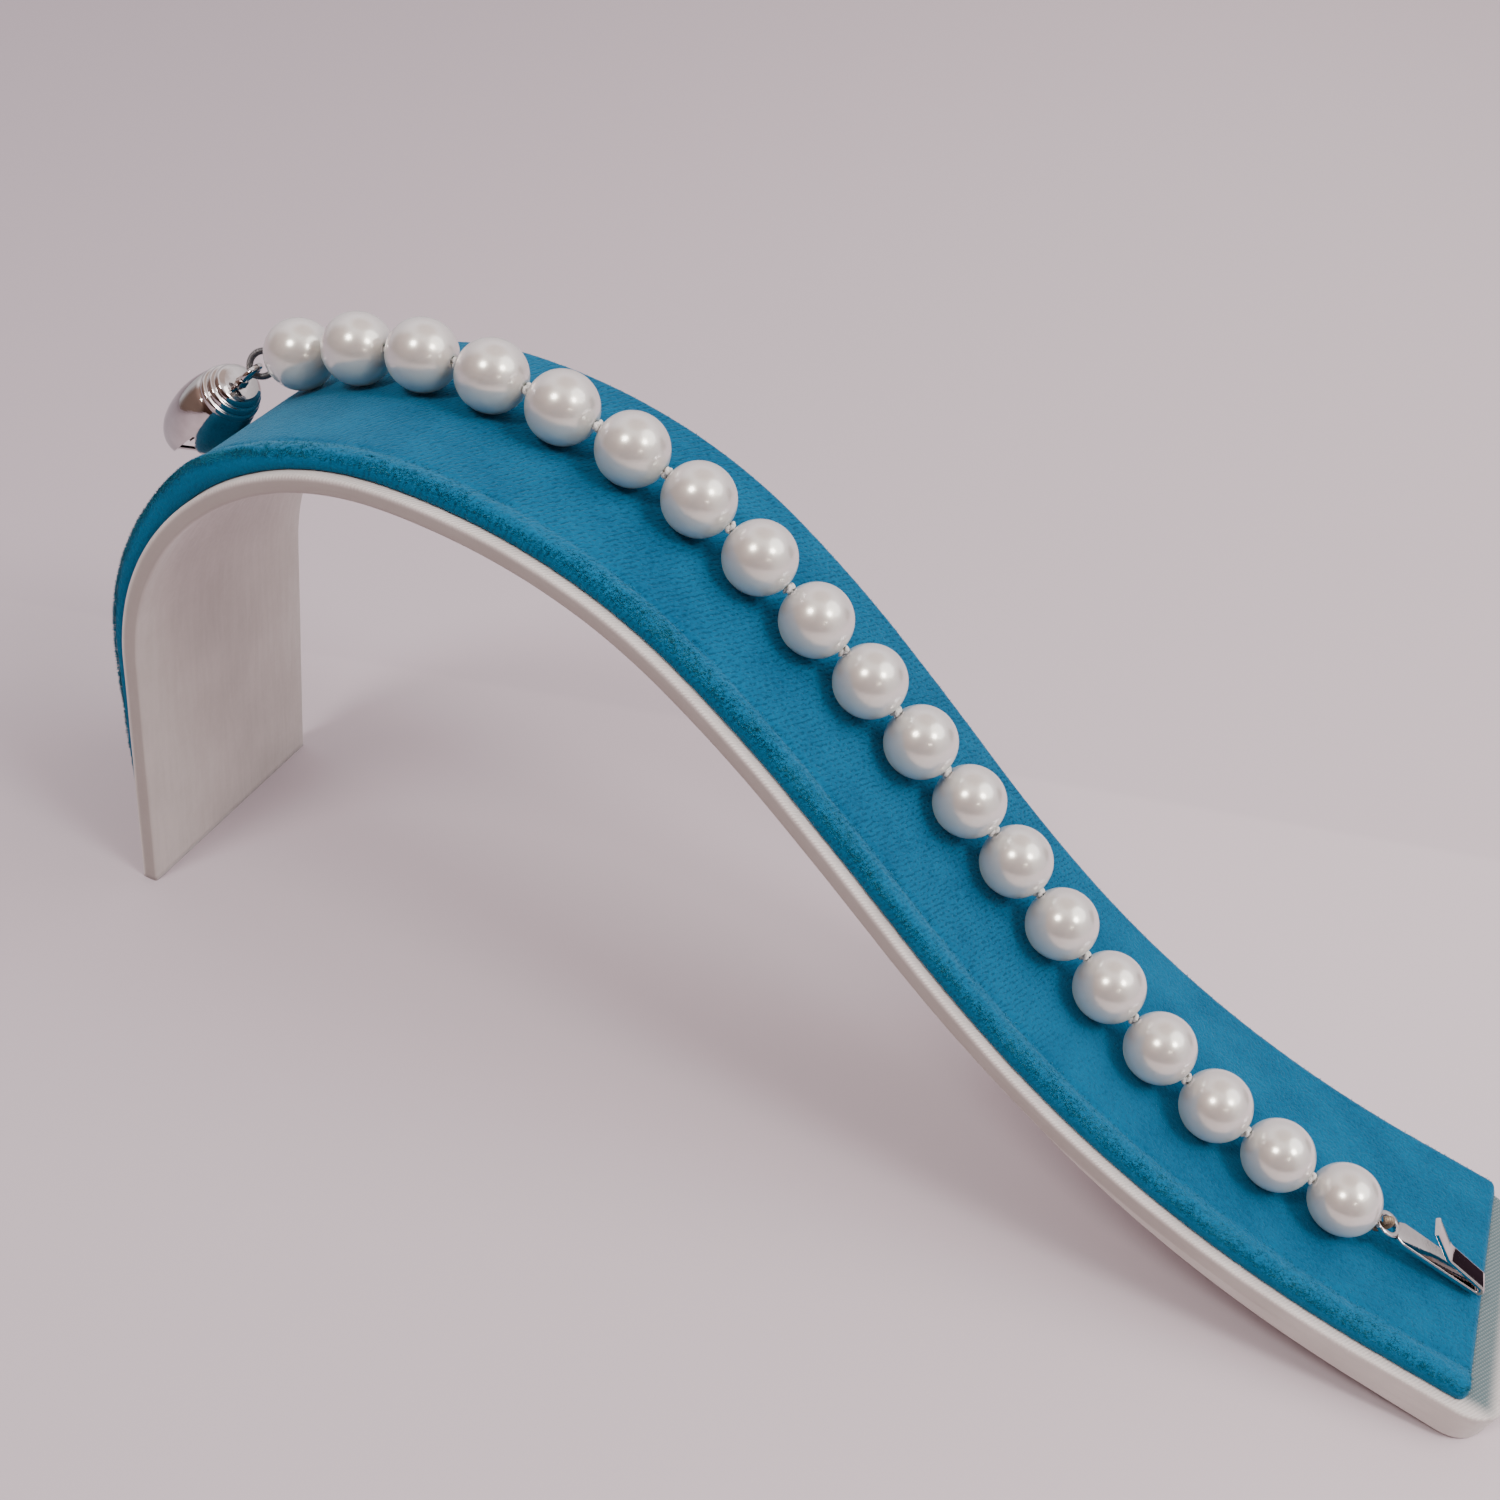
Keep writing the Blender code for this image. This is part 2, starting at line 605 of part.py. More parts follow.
def main():
    for thing in list(bpy.data.objects):
        bpy.data.objects.remove(thing, do_unlink=True)

    satin, velvet, pearl, silk, silver, coil = [make_material(*row) for row in MATERIALS]
    build_board(satin)
    build_velvet(velvet)
    centres = string_centres()
    axes = string_axes(centres)
    build_pearls(centres, axes, pearl)
    build_thread(centres, axes, silk)
    build_shell(silver)
    shell, tongue = shell_frame(), tongue_frame(centres[-1], axes[-1])
    build_tongue(tongue, silver)

    reach = PEARL_DIAMETER / 2 + GUARD_GAP
    eye = shell @ Vector((eye_centre(), 0, 0))
    mouth = centres[0] - axes[0] * reach
    up = shell.col[2].to_3d()
    build_guard("wire_guard_shell", mouth, eye, up, SHELL_GUARD_WIRE, SHELL_GUARD_SPREAD, coil)
    mouth = centres[-1] + axes[-1] * reach
    up = tongue.col[2].to_3d()
    eye = tongue.translation
    build_guard("wire_guard_tongue", mouth, eye, up, TONGUE_GUARD_WIRE, TONGUE_GUARD_SPREAD, coil)

    stand_at_origin(list(bpy.data.objects))


main()
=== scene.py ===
import math

import bmesh
import bpy
import numpy as np
from mathutils import Matrix, Vector, noise


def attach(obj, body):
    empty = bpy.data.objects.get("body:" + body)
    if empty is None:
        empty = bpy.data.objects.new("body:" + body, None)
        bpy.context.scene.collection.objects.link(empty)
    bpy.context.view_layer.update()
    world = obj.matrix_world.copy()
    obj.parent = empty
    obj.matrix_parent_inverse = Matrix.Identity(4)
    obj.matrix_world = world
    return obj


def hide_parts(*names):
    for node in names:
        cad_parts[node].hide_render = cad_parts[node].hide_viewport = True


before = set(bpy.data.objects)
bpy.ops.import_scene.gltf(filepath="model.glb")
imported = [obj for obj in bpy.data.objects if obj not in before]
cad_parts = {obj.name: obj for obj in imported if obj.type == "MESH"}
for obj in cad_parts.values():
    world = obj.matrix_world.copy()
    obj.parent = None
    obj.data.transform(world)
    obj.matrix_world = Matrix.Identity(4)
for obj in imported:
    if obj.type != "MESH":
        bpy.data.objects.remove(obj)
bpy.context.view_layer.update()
mm = 0.001
rng = np.random.default_rng(7)


def rideRoot(thing, slot, *nodes):
    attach(thing, "root")
    if nodes:
        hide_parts(*nodes)
    return thing


def meshFromArrays(name, points, faces, material, smooth=True, coords=None):
    # coords is run, across and height, which the cloth materials read
    mesh = bpy.data.meshes.new(name)
    mesh.from_pydata([tuple(p) for p in np.asarray(points, float).tolist()], [], faces)
    mesh.validate()
    mesh.polygons.foreach_set("use_smooth", [smooth] * len(mesh.polygons))
    if coords is not None:
        layer = mesh.attributes.new("cloth", "FLOAT_VECTOR", "POINT")
        layer.data.foreach_set("vector", np.asarray(coords, np.float32).ravel())
    mesh.materials.append(material)
    thing = bpy.data.objects.new(name, mesh)
    bpy.context.scene.collection.objects.link(thing)
    return thing


def gridFaces(rows, columns, closeAlong=False, caps=False):
    # quads between rings of points, the last ring joined to the first where closeAlong is set
    faces = []
    for i in range(rows if closeAlong else rows - 1):
        a, b = i * columns, (i + 1) % rows * columns
        for j in range(columns):
            k = (j + 1) % columns
            faces.append((a + j, b + j, b + k, a + k))
    if caps:
        faces.append(tuple(range(columns)))
        faces.append(tuple(range((rows - 1) * columns, rows * columns))[::-1])
    return faces


def faceOut(thing):
    bm = bmesh.new()
    bm.from_mesh(thing.data)
    bmesh.ops.recalc_face_normals(bm, faces=bm.faces)
    bm.to_mesh(thing.data)
    bm.free()
    return thing


def tubeRings(path, radii, sides, twist=0.0, plies=0, groove=0.0, closed=False):
    # rings round a path; plies and groove carve the lay of a twisted thread into it
    path = np.asarray(path, float)
    count = len(path)
    if closed:
        ahead = np.roll(path, -1, 0) - np.roll(path, 1, 0)
    else:
        ahead = np.gradient(path, axis=0)
    ahead /= np.linalg.norm(ahead, axis=1, keepdims=True)
    gone = np.concatenate([[0], np.cumsum(np.linalg.norm(np.diff(path, axis=0), axis=1))])
    side = np.cross(ahead[0], (0.31, 0.52, 0.79))
    rings = []
    for i in range(count):
        side = side - ahead[i] * side.dot(ahead[i])
        side /= np.linalg.norm(side)
        up = np.cross(ahead[i], side)
        turn = np.linspace(0, 2 * math.pi, sides, endpoint=False)
        radius = radii[i] * (1 - groove * (0.5 - 0.5 * np.cos(plies * turn - twist * gone[i])))
        rings.append(path[i] + radius[:, None] * (np.cos(turn)[:, None] * side + np.sin(turn)[:, None] * up))
    return np.array(rings)


def smoothPath(points, steps):
    points = [np.asarray(p, float) for p in points]
    ends = [2 * points[0] - points[1], *points, 2 * points[-1] - points[-2]]
    path = []
    for before, start, end, after in zip(ends, ends[1:], ends[2:], ends[3:]):
        leave, arrive = (end - before) / 2, (after - start) / 2
        for t in np.arange(steps) / steps:
            bow = leave * t * (1 - t) ** 2 - arrive * t * t * (1 - t)
            path.append(start + (end - start) * t * t * (3 - 2 * t) + bow)
    return np.array(path + [points[-1]])


def frameMatrix(origin, ahead, side):
    ahead = ahead.normalized()
    up = ahead.cross(side).normalized()
    turn = Matrix((ahead, up.cross(ahead), up)).transposed().to_4x4()
    return Matrix.Translation(origin) @ turn


def waviness(points, size, seed):
    # smooth noise, about -1 to 1, at each point; size is the length of its features
    shift = Vector((seed * 3.1, seed * 1.7, seed * 5.3))
    return np.array([noise.noise(Vector(p) / size + shift) for p in points])


# A run is a length along the line from the floor and a height is square to it, towards the velvet.

ramp = {
    "width": 32.6 * mm,
    "leg": 34.1 * mm,
    "bend": 192.8 * mm,
    "toe": 10.3 * mm,
    "nose": 5.1 * mm,
    "bends": ((2 / 11, -57.5), (1 / 11, -30.9), (1 / 11, -15.8), (1 / 11, -17.9),
              (1 / 11, -7.2), (1 / 11, -1.8), (1 / 11, 5.1), (3 / 11, 24.9)),
    "origin": (-81.854 * mm, -16.3 * mm, -0.025 * mm),
}
velvetEnd = ramp["leg"] + ramp["bend"] + ramp["toe"]
rampEnd = velvetEnd + ramp["nose"]
lineStep = 0.05 * mm
lineRuns = np.arange(0, rampEnd + 2 * lineStep, lineStep)
partLengths = [ramp["leg"], *(share * ramp["bend"] for share, _ in ramp["bends"]), ramp["toe"] + ramp["nose"]]
partTurns = [0.0] + [turn for _, turn in ramp["bends"]] + [0.0]
lineAngles = np.interp(lineRuns, np.cumsum([0.0] + partLengths), np.radians(90 + np.cumsum([0.0] + partTurns)))
midAngles = (lineAngles[1:] + lineAngles[:-1]) / 2
lineX = np.concatenate([[0.0], np.cumsum(np.cos(midAngles) * lineStep)])
lineZ = np.concatenate([[0.0], np.cumsum(np.sin(midAngles) * lineStep)])


def overRamp(run, height, y):
    run, height, y = np.broadcast_arrays(np.asarray(run, float), height, y)
    angle = np.interp(run, lineRuns, lineAngles)
    x = np.interp(run, lineRuns, lineX) - height * np.sin(angle)
    z = np.interp(run, lineRuns, lineZ) + height * np.cos(angle)
    return np.stack([x, y, z], -1) + ramp["origin"]


def liftFrom(coords):
    # where coords lie over the ramp, and the way out of it there
    run, across, height = coords.T
    base = overRamp(run, height, across)
    return base, overRamp(run, height + 1.0, across) - base


def newGroup(name, inputs, outputs):
    group = bpy.data.node_groups.new(name, "ShaderNodeTree")
    for label, kind, value in inputs:
        socket = group.interface.new_socket(name=label, in_out="INPUT", socket_type="NodeSocket" + kind)
        if value is not None:
            socket.default_value = value
    for label, kind in outputs:
        group.interface.new_socket(name=label, in_out="OUTPUT", socket_type="NodeSocket" + kind)
    return group, group.nodes.new("NodeGroupInput"), group.nodes.new("NodeGroupOutput")


def addNode(tree, kind, inputs=None, **settings):
    node = tree.nodes.new("ShaderNode" + kind)
    for key, value in settings.items():
        setattr(node, key, value)
    for key, value in (inputs or {}).items():
        socket = node.inputs[key]
        if isinstance(value, bpy.types.NodeSocket):
            tree.links.new(value, socket)
        else:
            socket.default_value = value
    return node


def mathNode(tree, operation, first, second=0.0, third=None):
    inputs = {0: first, 1: second}
    if third is not None:
        inputs[2] = third
    return addNode(tree, "Math", inputs, operation=operation).outputs[0]


def times(tree, first, second):
    return mathNode(tree, "MULTIPLY", first, second)


def flip(tree, value):
    return mathNode(tree, "SUBTRACT", 1.0, value)


def vectorNode(tree, operation, first, second):
    node = addNode(tree, "VectorMath", {0: first, 1: second}, operation=operation)
    return node.outputs["Value" if operation == "DOT_PRODUCT" else "Vector"]


def splitVector(tree, vector):
    return addNode(tree, "SeparateXYZ", {0: vector}).outputs


def mixColour(tree, factor, first, second):
    node = addNode(tree, "Mix", data_type="RGBA")
    for index, value in ((0, factor), (6, first), (7, second)):
        if isinstance(value, bpy.types.NodeSocket):
            tree.links.new(value, node.inputs[index])
        else:
            node.inputs[index].default_value = value
    return node.outputs[2]


def spread(tree, value, low, high, toLow=0.0, toHigh=1.0):
    inputs = {"Value": value, "From Min": low, "From Max": high, "To Min": toLow, "To Max": toHigh}
    return addNode(tree, "MapRange", inputs, interpolation_type="SMOOTHSTEP").outputs[0]


def buildFineGrain():
    # soft blotches and a fine grain, for finishes that are never quite even
    group, given, made = newGroup(
        "fineGrain",
        (("Vector", "Vector", None), ("Blotch size", "Float", 0.01), ("Grain size", "Float", 0.001)),
        (("Blotches", "Float"), ("Grain", "Float")),
    )
    for size, label in (("Blotch size", "Blotches"), ("Grain size", "Grain")):
        scale = mathNode(group, "DIVIDE", 1.0, given.outputs[size])
        cloud = addNode(group, "TexNoise", {"Vector": given.outputs["Vector"], "Scale": scale, "Detail": 3.0})
        group.links.new(spread(group, cloud.outputs[0], 0.3, 0.7), made.inputs[label])
    return group


def buildClothRibs():
    # ribs across the run with a slight wander, and threads along it
    group, given, made = newGroup(
        "clothRibs",
        (("Cloth", "Vector", None), ("Rib pitch", "Float", 0.0003), ("Thread pitch", "Float", 0.0003),
         ("Wander", "Float", 0.2)),
        (("Ribs", "Float"), ("Weave", "Float")),
    )
    parts = splitVector(group, given.outputs["Cloth"])
    cloud = addNode(group, "TexNoise", {"Vector": given.outputs["Cloth"], "Scale": 700.0, "Detail": 2.0})
    drift = times(group, cloud.outputs[0], given.outputs["Wander"])
    waves = []
    for axis, label in ((0, "Rib pitch"), (1, "Thread pitch")):
        turns = mathNode(group, "DIVIDE", parts[axis], given.outputs[label])
        turns = mathNode(group, "ADD", turns, drift)
        wave = mathNode(group, "SINE", times(group, turns, 2 * math.pi))
        waves.append(mathNode(group, "MULTIPLY_ADD", wave, 0.5, 0.5))
    group.links.new(waves[0], made.inputs["Ribs"])
    group.links.new(times(group, waves[0], waves[1]), made.inputs["Weave"])
    return group


fineGrain = buildFineGrain()
clothRibs = buildClothRibs()


def useGroup(tree, group, **inputs):
    node = tree.nodes.new("ShaderNodeGroup")
    node.node_tree = group
    for key, value in inputs.items():
        socket = node.inputs[key.replace("_", " ")]
        if isinstance(value, bpy.types.NodeSocket):
            tree.links.new(value, socket)
        else:
            socket.default_value = value
    return node.outputs


def newMaterial(name, **fixed):
    material = bpy.data.materials.new(name)
    material.use_nodes = True
    tree = material.node_tree
    shader = tree.nodes["Principled BSDF"]
    for key, value in fixed.items():
        shader.inputs[key.replace("_", " ")].default_value = value
    return material, tree, shader


def dressShader(tree, shader, colour, bumpHeight, bumpDepth, roughness=None):
    tree.links.new(colour, shader.inputs["Base Color"])
    if roughness:
        tree.links.new(roughness, shader.inputs["Roughness"])
    node = addNode(tree, "Bump", {"Height": bumpHeight, "Distance": bumpDepth, "Strength": 1.0})
    tree.links.new(node.outputs[0], shader.inputs["Normal"])


def place(tree):
    return addNode(tree, "TexCoord").outputs["Object"]


def clothPlace(tree, slant):
    # run, across and height on the ramp, and the same turned by slant for the weave
    cloth = addNode(tree, "Attribute", attribute_name="cloth").outputs["Vector"]
    inputs = {"Vector": cloth, "Angle": math.radians(slant)}
    turned = addNode(tree, "VectorRotate", inputs, rotation_type="Z_AXIS")
    return cloth, turned.outputs[0]


velvetLook = {
    "deep": (0.0014, 0.076, 0.162, 1),
    "wornAndSheen": (0.006, 0.135, 0.262, 1),
    "gapShade": (0.001, 0.030, 0.068, 1),
    "tip": (0.035, 0.275, 0.400, 1),
    "sheen": (0.35, 0.70, 0.85, 1),
    "rowSlant": 23.5,  # the rows of pile run a little askew of square across
    "rowPitch": 0.58 * mm,
    "tuftPitch": 0.75 * mm,
    "tuftStretch": 0.36,
    "rowsFrom": (60 * mm, 95 * mm),  # the rows show on the slope only
    "rowsTo": (165 * mm, 200 * mm),
    "brushed": 0.8,  # strength of the mottle where the pile is brushed out
    "rollInside": (3.2 * mm, 5.2 * mm),
    "wornBlotches": 0.45,
    "wornGrain": 0.35,
    "rollSheen": 0.5,
    "gapDepth": 0.30,  # how dark the painted shade in the gaps is, and the change on the slope and on the roll
    "slopeDeeper": 0.22,
    "rollShallower": 0.05,
    "tipWeight": 0.85,
    "bump": 0.08 * mm,
}


def tealVelvet():
    look = velvetLook
    material, tree, shader = newMaterial(
        "tealVelvet", Roughness=0.95, Sheen_Weight=0.28, Sheen_Roughness=0.4,
        Sheen_Tint=look["sheen"], Specular_IOR_Level=0.12)
    cloth, slanted = clothPlace(tree, look["rowSlant"])
    run, across, height = splitVector(tree, cloth)
    drawn = vectorNode(tree, "MULTIPLY", slanted, (1.0, look["tuftStretch"], 1.0))
    grain = useGroup(tree, fineGrain, Vector=cloth, Blotch_size=6.0 * mm, Grain_size=0.45 * mm)
    strokes = useGroup(tree, fineGrain, Vector=drawn, Blotch_size=0.5 * mm, Grain_size=0.21 * mm)
    mottle = useGroup(tree, fineGrain, Vector=cloth, Blotch_size=0.4 * mm, Grain_size=0.2 * mm)
    ribs = useGroup(tree, clothRibs, Cloth=slanted, Rib_pitch=look["rowPitch"],
                    Thread_pitch=look["tuftPitch"], Wander=1.0)
    colour = mixColour(tree, times(tree, grain["Blotches"], look["wornBlotches"]), look["deep"], look["wornAndSheen"])
    colour = mixColour(tree, times(tree, grain["Grain"], look["wornGrain"]), colour, look["wornAndSheen"])
    # painted shade in the gaps of the pile: in rows on the slope, mottled over the crest and the toe
    sloping = times(tree, spread(tree, run, *look["rowsFrom"]), flip(tree, spread(tree, run, *look["rowsTo"])))
    rows = times(tree, strokes["Grain"], mathNode(tree, "MULTIPLY_ADD", ribs["Ribs"], 0.65, 0.35))
    mottled = times(tree, mottle["Blotches"], mathNode(tree, "MULTIPLY_ADD", mottle["Grain"], 0.5, 0.5))
    brushed = mathNode(tree, "MULTIPLY_ADD", sloping, -look["brushed"], look["brushed"])
    gaps = mathNode(tree, "MULTIPLY_ADD", mottled, brushed, times(tree, rows, sloping))
    # painted sheen: the roll along the near edge is paler, and the painted shade in its gaps is shallower
    roll = flip(tree, spread(tree, across, *look["rollInside"]))
    colour = mixColour(tree, times(tree, roll, look["rollSheen"]), colour, look["wornAndSheen"])
    depth = mathNode(tree, "MULTIPLY_ADD", sloping, look["slopeDeeper"], look["gapDepth"])
    depth = mathNode(tree, "MULTIPLY_ADD", roll, -look["rollShallower"], depth)
    colour = mixColour(tree, times(tree, spread(tree, gaps, 0.25, 0.8), depth), colour, look["gapShade"])
    # painted sheen: the fibre tips turn paler
    tips = times(tree, spread(tree, height, 0.0, 0.8), look["tipWeight"])
    dressShader(tree, shader, mixColour(tree, tips, colour, look["tip"]), flip(tree, gaps), look["bump"])
    return material


satinLook = {
    "cream": (0.75, 0.68, 0.645, 1),
    "grey": (0.50, 0.44, 0.41, 1),
    # side is the colour of the painted shade on the sides and in the creases
    "side": (0.30, 0.25, 0.23, 1),
    "teal": (0.085, 0.135, 0.145, 1),
    "slant": 35,
    "ribPitch": 0.34 * mm,
    "threadPitch": 0.36 * mm,
    "sideUpTo": (-0.1 * mm, 0.45 * mm),
    "undersideUpTo": (-1.48 * mm, -1.2 * mm),
    "sideShade": 0.85,
    "toePaler": 0.5,
    "undersidePaler": 0.42,
    "bandStart": (-1.0 * mm, 0.4 * mm),  # the dotted teal band past the velvet's end
    "bandEnd": (2.2 * mm, 4.4 * mm),
    "bandInset": (0.8 * mm, 3.0 * mm),
    "dots": 0.28,
    "greyBlotches": 0.35,
    "furrows": 0.35,
    "creases": 0.12,
    "bump": 0.05 * mm,
}


def whiteSatin():
    look = satinLook
    material, tree, shader = newMaterial(
        "whiteSatin", Sheen_Weight=0.25, Sheen_Roughness=0.4, Specular_IOR_Level=0.35)
    cloth, slanted = clothPlace(tree, look["slant"])
    run, across, height = splitVector(tree, cloth)
    drawn = vectorNode(tree, "MULTIPLY", cloth, (0.12, 1.0, 1.0))
    ribs = useGroup(tree, clothRibs, Cloth=slanted, Rib_pitch=look["ribPitch"],
                    Thread_pitch=look["threadPitch"], Wander=0.3)
    grain = useGroup(tree, fineGrain, Vector=cloth, Blotch_size=9.0 * mm, Grain_size=0.8 * mm)
    creases = useGroup(tree, fineGrain, Vector=drawn, Blotch_size=0.9 * mm, Grain_size=0.4 * mm)["Blotches"]
    colour = mixColour(tree, times(tree, grain["Blotches"], look["greyBlotches"]), look["cream"], look["grey"])
    side = flip(tree, spread(tree, height, *look["sideUpTo"]))
    facing = flip(tree, side)
    furrow = times(tree, flip(tree, ribs["Ribs"]), times(tree, facing, look["furrows"]))
    colour = mixColour(tree, furrow, colour, look["grey"])
    # painted shade: the sides are darker, less so at the toe and on the underside
    nearToe = times(tree, spread(tree, run, velvetEnd - 45 * mm, velvetEnd - 5 * mm), look["toePaler"])
    underside = times(tree, flip(tree, spread(tree, height, *look["undersideUpTo"])), look["undersidePaler"])
    shade = mathNode(tree, "SUBTRACT", look["sideShade"], mathNode(tree, "MAXIMUM", nearToe, underside))
    colour = mixColour(tree, times(tree, side, shade), colour, look["side"])
    # painted shade in the creases
    colour = mixColour(tree, times(tree, creases, look["creases"]), colour, look["side"])
    front = spread(tree, run, *(velvetEnd + edge for edge in look["bandStart"]))
    fade = flip(tree, spread(tree, run, *(velvetEnd + edge for edge in look["bandEnd"])))
    onTop = times(tree, spread(tree, height, -0.6 * mm, 0.3 * mm), spread(tree, across, *look["bandInset"]))
    band = times(tree, times(tree, front, fade), onTop)
    dots = mathNode(tree, "MULTIPLY_ADD", ribs["Weave"], -look["dots"], 1.0)
    colour = mixColour(tree, times(tree, band, dots), colour, look["teal"])
    weave = mathNode(tree, "ADD", times(tree, ribs["Ribs"], facing), times(tree, ribs["Weave"], band))
    relief = mathNode(tree, "ADD", weave, times(tree, creases, 0.5))
    dressShader(tree, shader, colour, relief, look["bump"], spread(tree, grain["Grain"], 0.0, 1.0, 0.42, 0.6))
    return material


pearlLook = {
    "body": (0.74, 0.665, 0.625, 1),
    "blush": (0.70, 0.59, 0.545, 1),
    "coolReflection": (0.80, 0.87, 0.81, 1),
    "blushWeight": 0.5,
    "reflectionBelow": 0.8,  # painted reflection: the lower half of each pearl is cooler
    "roughness": (0.22, 0.27),
}


def pearlNacre():
    look = pearlLook
    material, tree, shader = newMaterial(
        "pearlNacre", IOR=1.68, Metallic=0.44, Coat_Weight=1.0, Coat_Roughness=0.09, Coat_IOR=1.6,
        Thin_Film_Thickness=410.0, Thin_Film_IOR=1.36, Sheen_Weight=0.35, Sheen_Roughness=0.45,
        Sheen_Tint=(0.85, 1.0, 0.97, 1), Subsurface_Weight=0.45, Subsurface_Scale=2.5 * mm,
        Subsurface_Radius=(0.9, 1.0, 1.0))
    grain = useGroup(tree, fineGrain, Vector=place(tree), Blotch_size=11.0 * mm, Grain_size=3.0 * mm)
    blotches = grain["Blotches"]
    colour = mixColour(tree, times(tree, blotches, look["blushWeight"]), look["body"], look["blush"])
    # painted cool reflection on the lower half of each pearl
    upward = splitVector(tree, addNode(tree, "NewGeometry").outputs["Normal"])[2]
    below = flip(tree, spread(tree, upward, -0.7, 0.5))
    colour = mixColour(tree, times(tree, below, look["reflectionBelow"]), colour, look["coolReflection"])
    roughness = spread(tree, blotches, 0.0, 1.0, *look["roughness"])
    dressShader(tree, shader, colour, blotches, 0.01 * mm, roughness)
    return material


silkLook = {
    "pale": (0.90, 0.86, 0.82, 1),
    "dark": (0.76, 0.71, 0.66, 1),
    "roughness": (0.6, 0.8),
    "bump": 0.04 * mm,
}


def whiteSilk():
    material, tree, shader = newMaterial(
        "whiteSilk", Sheen_Weight=0.4, Sheen_Roughness=0.4, Specular_IOR_Level=0.3)
    grain = useGroup(tree, fineGrain, Vector=place(tree), Blotch_size=2.0 * mm, Grain_size=0.12 * mm)
    colour = mixColour(tree, grain["Grain"], silkLook["pale"], silkLook["dark"])
    roughness = spread(tree, grain["Blotches"], 0.0, 1.0, *silkLook["roughness"])
    dressShader(tree, shader, colour, grain["Grain"], silkLook["bump"], roughness)
    return material


metalLooks = {
    # bright and dull tone, least and most roughness, depth of grain, metallic
    "polishedSilver": ((0.68, 0.63, 0.62, 1), (0.52, 0.47, 0.46, 1), (0.03, 0.07), 0.002 * mm, 1.0),
    "darkCoil": ((0.30, 0.29, 0.29, 1), (0.16, 0.15, 0.16, 1), (0.3, 0.5), 0.01 * mm, 1.0),
    "beigeCoil": ((0.38, 0.285, 0.20, 1), (0.16, 0.115, 0.078, 1), (0.4, 0.6), 0.01 * mm, 0.6),
}
# painted teal-grey reflection on the shell towards its mouth
mouthReflection = {"colour": (0.24, 0.31, 0.33, 1), "from": -81.5 * mm, "to": -87.0 * mm, "weight": 0.5}


def metal(name):
    bright, dull, smoothness, grainDepth, metallic = metalLooks[name]
    material, tree, shader = newMaterial(name, Metallic=metallic, Specular_IOR_Level=0.5)
    where = place(tree)
    grain = useGroup(tree, fineGrain, Vector=where, Blotch_size=3.5 * mm, Grain_size=0.25 * mm)
    colour = mixColour(tree, grain["Blotches"], bright, dull)
    # painted reflection: the shell is duller and cooler teal-grey towards its mouth
    toMouth = flip(tree, spread(tree, splitVector(tree, where)[0], mouthReflection["to"], mouthReflection["from"]))
    colour = mixColour(tree, times(tree, toMouth, mouthReflection["weight"]), colour, mouthReflection["colour"])
    roughness = spread(tree, grain["Grain"], 0.0, 1.0, *smoothness)
    dressShader(tree, shader, colour, grain["Grain"], grainDepth, roughness)
    return material


velvetMaterial = tealVelvet()
satinMaterial = whiteSatin()
pearlMaterial = pearlNacre()
silkMaterial = whiteSilk()
silverMaterial, darkCoilMaterial, beigeCoilMaterial = (metal(name) for name in metalLooks)
print("materials made")


def roundedOblong(halfWidth, halfThickness, edge, steps):
    corners = []
    for cy, cz, start in ((1, 1, 90), (1, -1, 0), (-1, -1, -90), (-1, 1, -180)):
        for turn in np.radians(np.linspace(start, start - 90, steps)):
            corners.append((cy * (halfWidth - edge) + edge * math.cos(turn),
                            cz * (halfThickness - edge) + edge * math.sin(turn)))
    return corners


board = {
    "top": 0.6 * mm,
    "thickness": 2.1 * mm,
    "toeThickness": 4.7 * mm,
    "swell": 60.0 * mm,
    "edge": 0.4 * mm,
    "toeCorner": 5.6 * mm,
    "noseRound": 1.9 * mm,
    "step": 0.8 * mm,
    "columns": 24,  # across each of the two wide faces
    "wrinkle": 0.03 * mm,
    "wrinkleSize": 6.0 * mm,
    "calmFoot": 4.0 * mm,  # the foot stays flat
}


def boardRing(run, sideInset, faceInset):
    swell = min(1.0, max(0.0, (run - rampEnd + board["swell"]) / board["swell"]))
    thickness = board["thickness"] + (board["toeThickness"] - board["thickness"]) * swell
    near, far = sideInset, ramp["width"] - sideInset
    high, low = board["top"] - faceInset, board["top"] - thickness + faceInset
    edge = min(board["edge"], (high - low) / 2.2)
    section = np.array(roundedOblong((far - near) / 2, (high - low) / 2, edge, 6))
    across, up = (section + ((near + far) / 2, (high + low) / 2)).T
    # more points on the two wide faces
    columns, half = board["columns"], len(across) // 2
    top = np.linspace(near + edge, far - edge, columns + 2)[1:-1]
    across = np.concatenate([top, across[:half], top[::-1], across[half:]])
    up = np.concatenate([np.full(columns, high), up[:half], np.full(columns, low), up[half:]])
    return np.stack([np.full(len(up), run), across, up], -1)


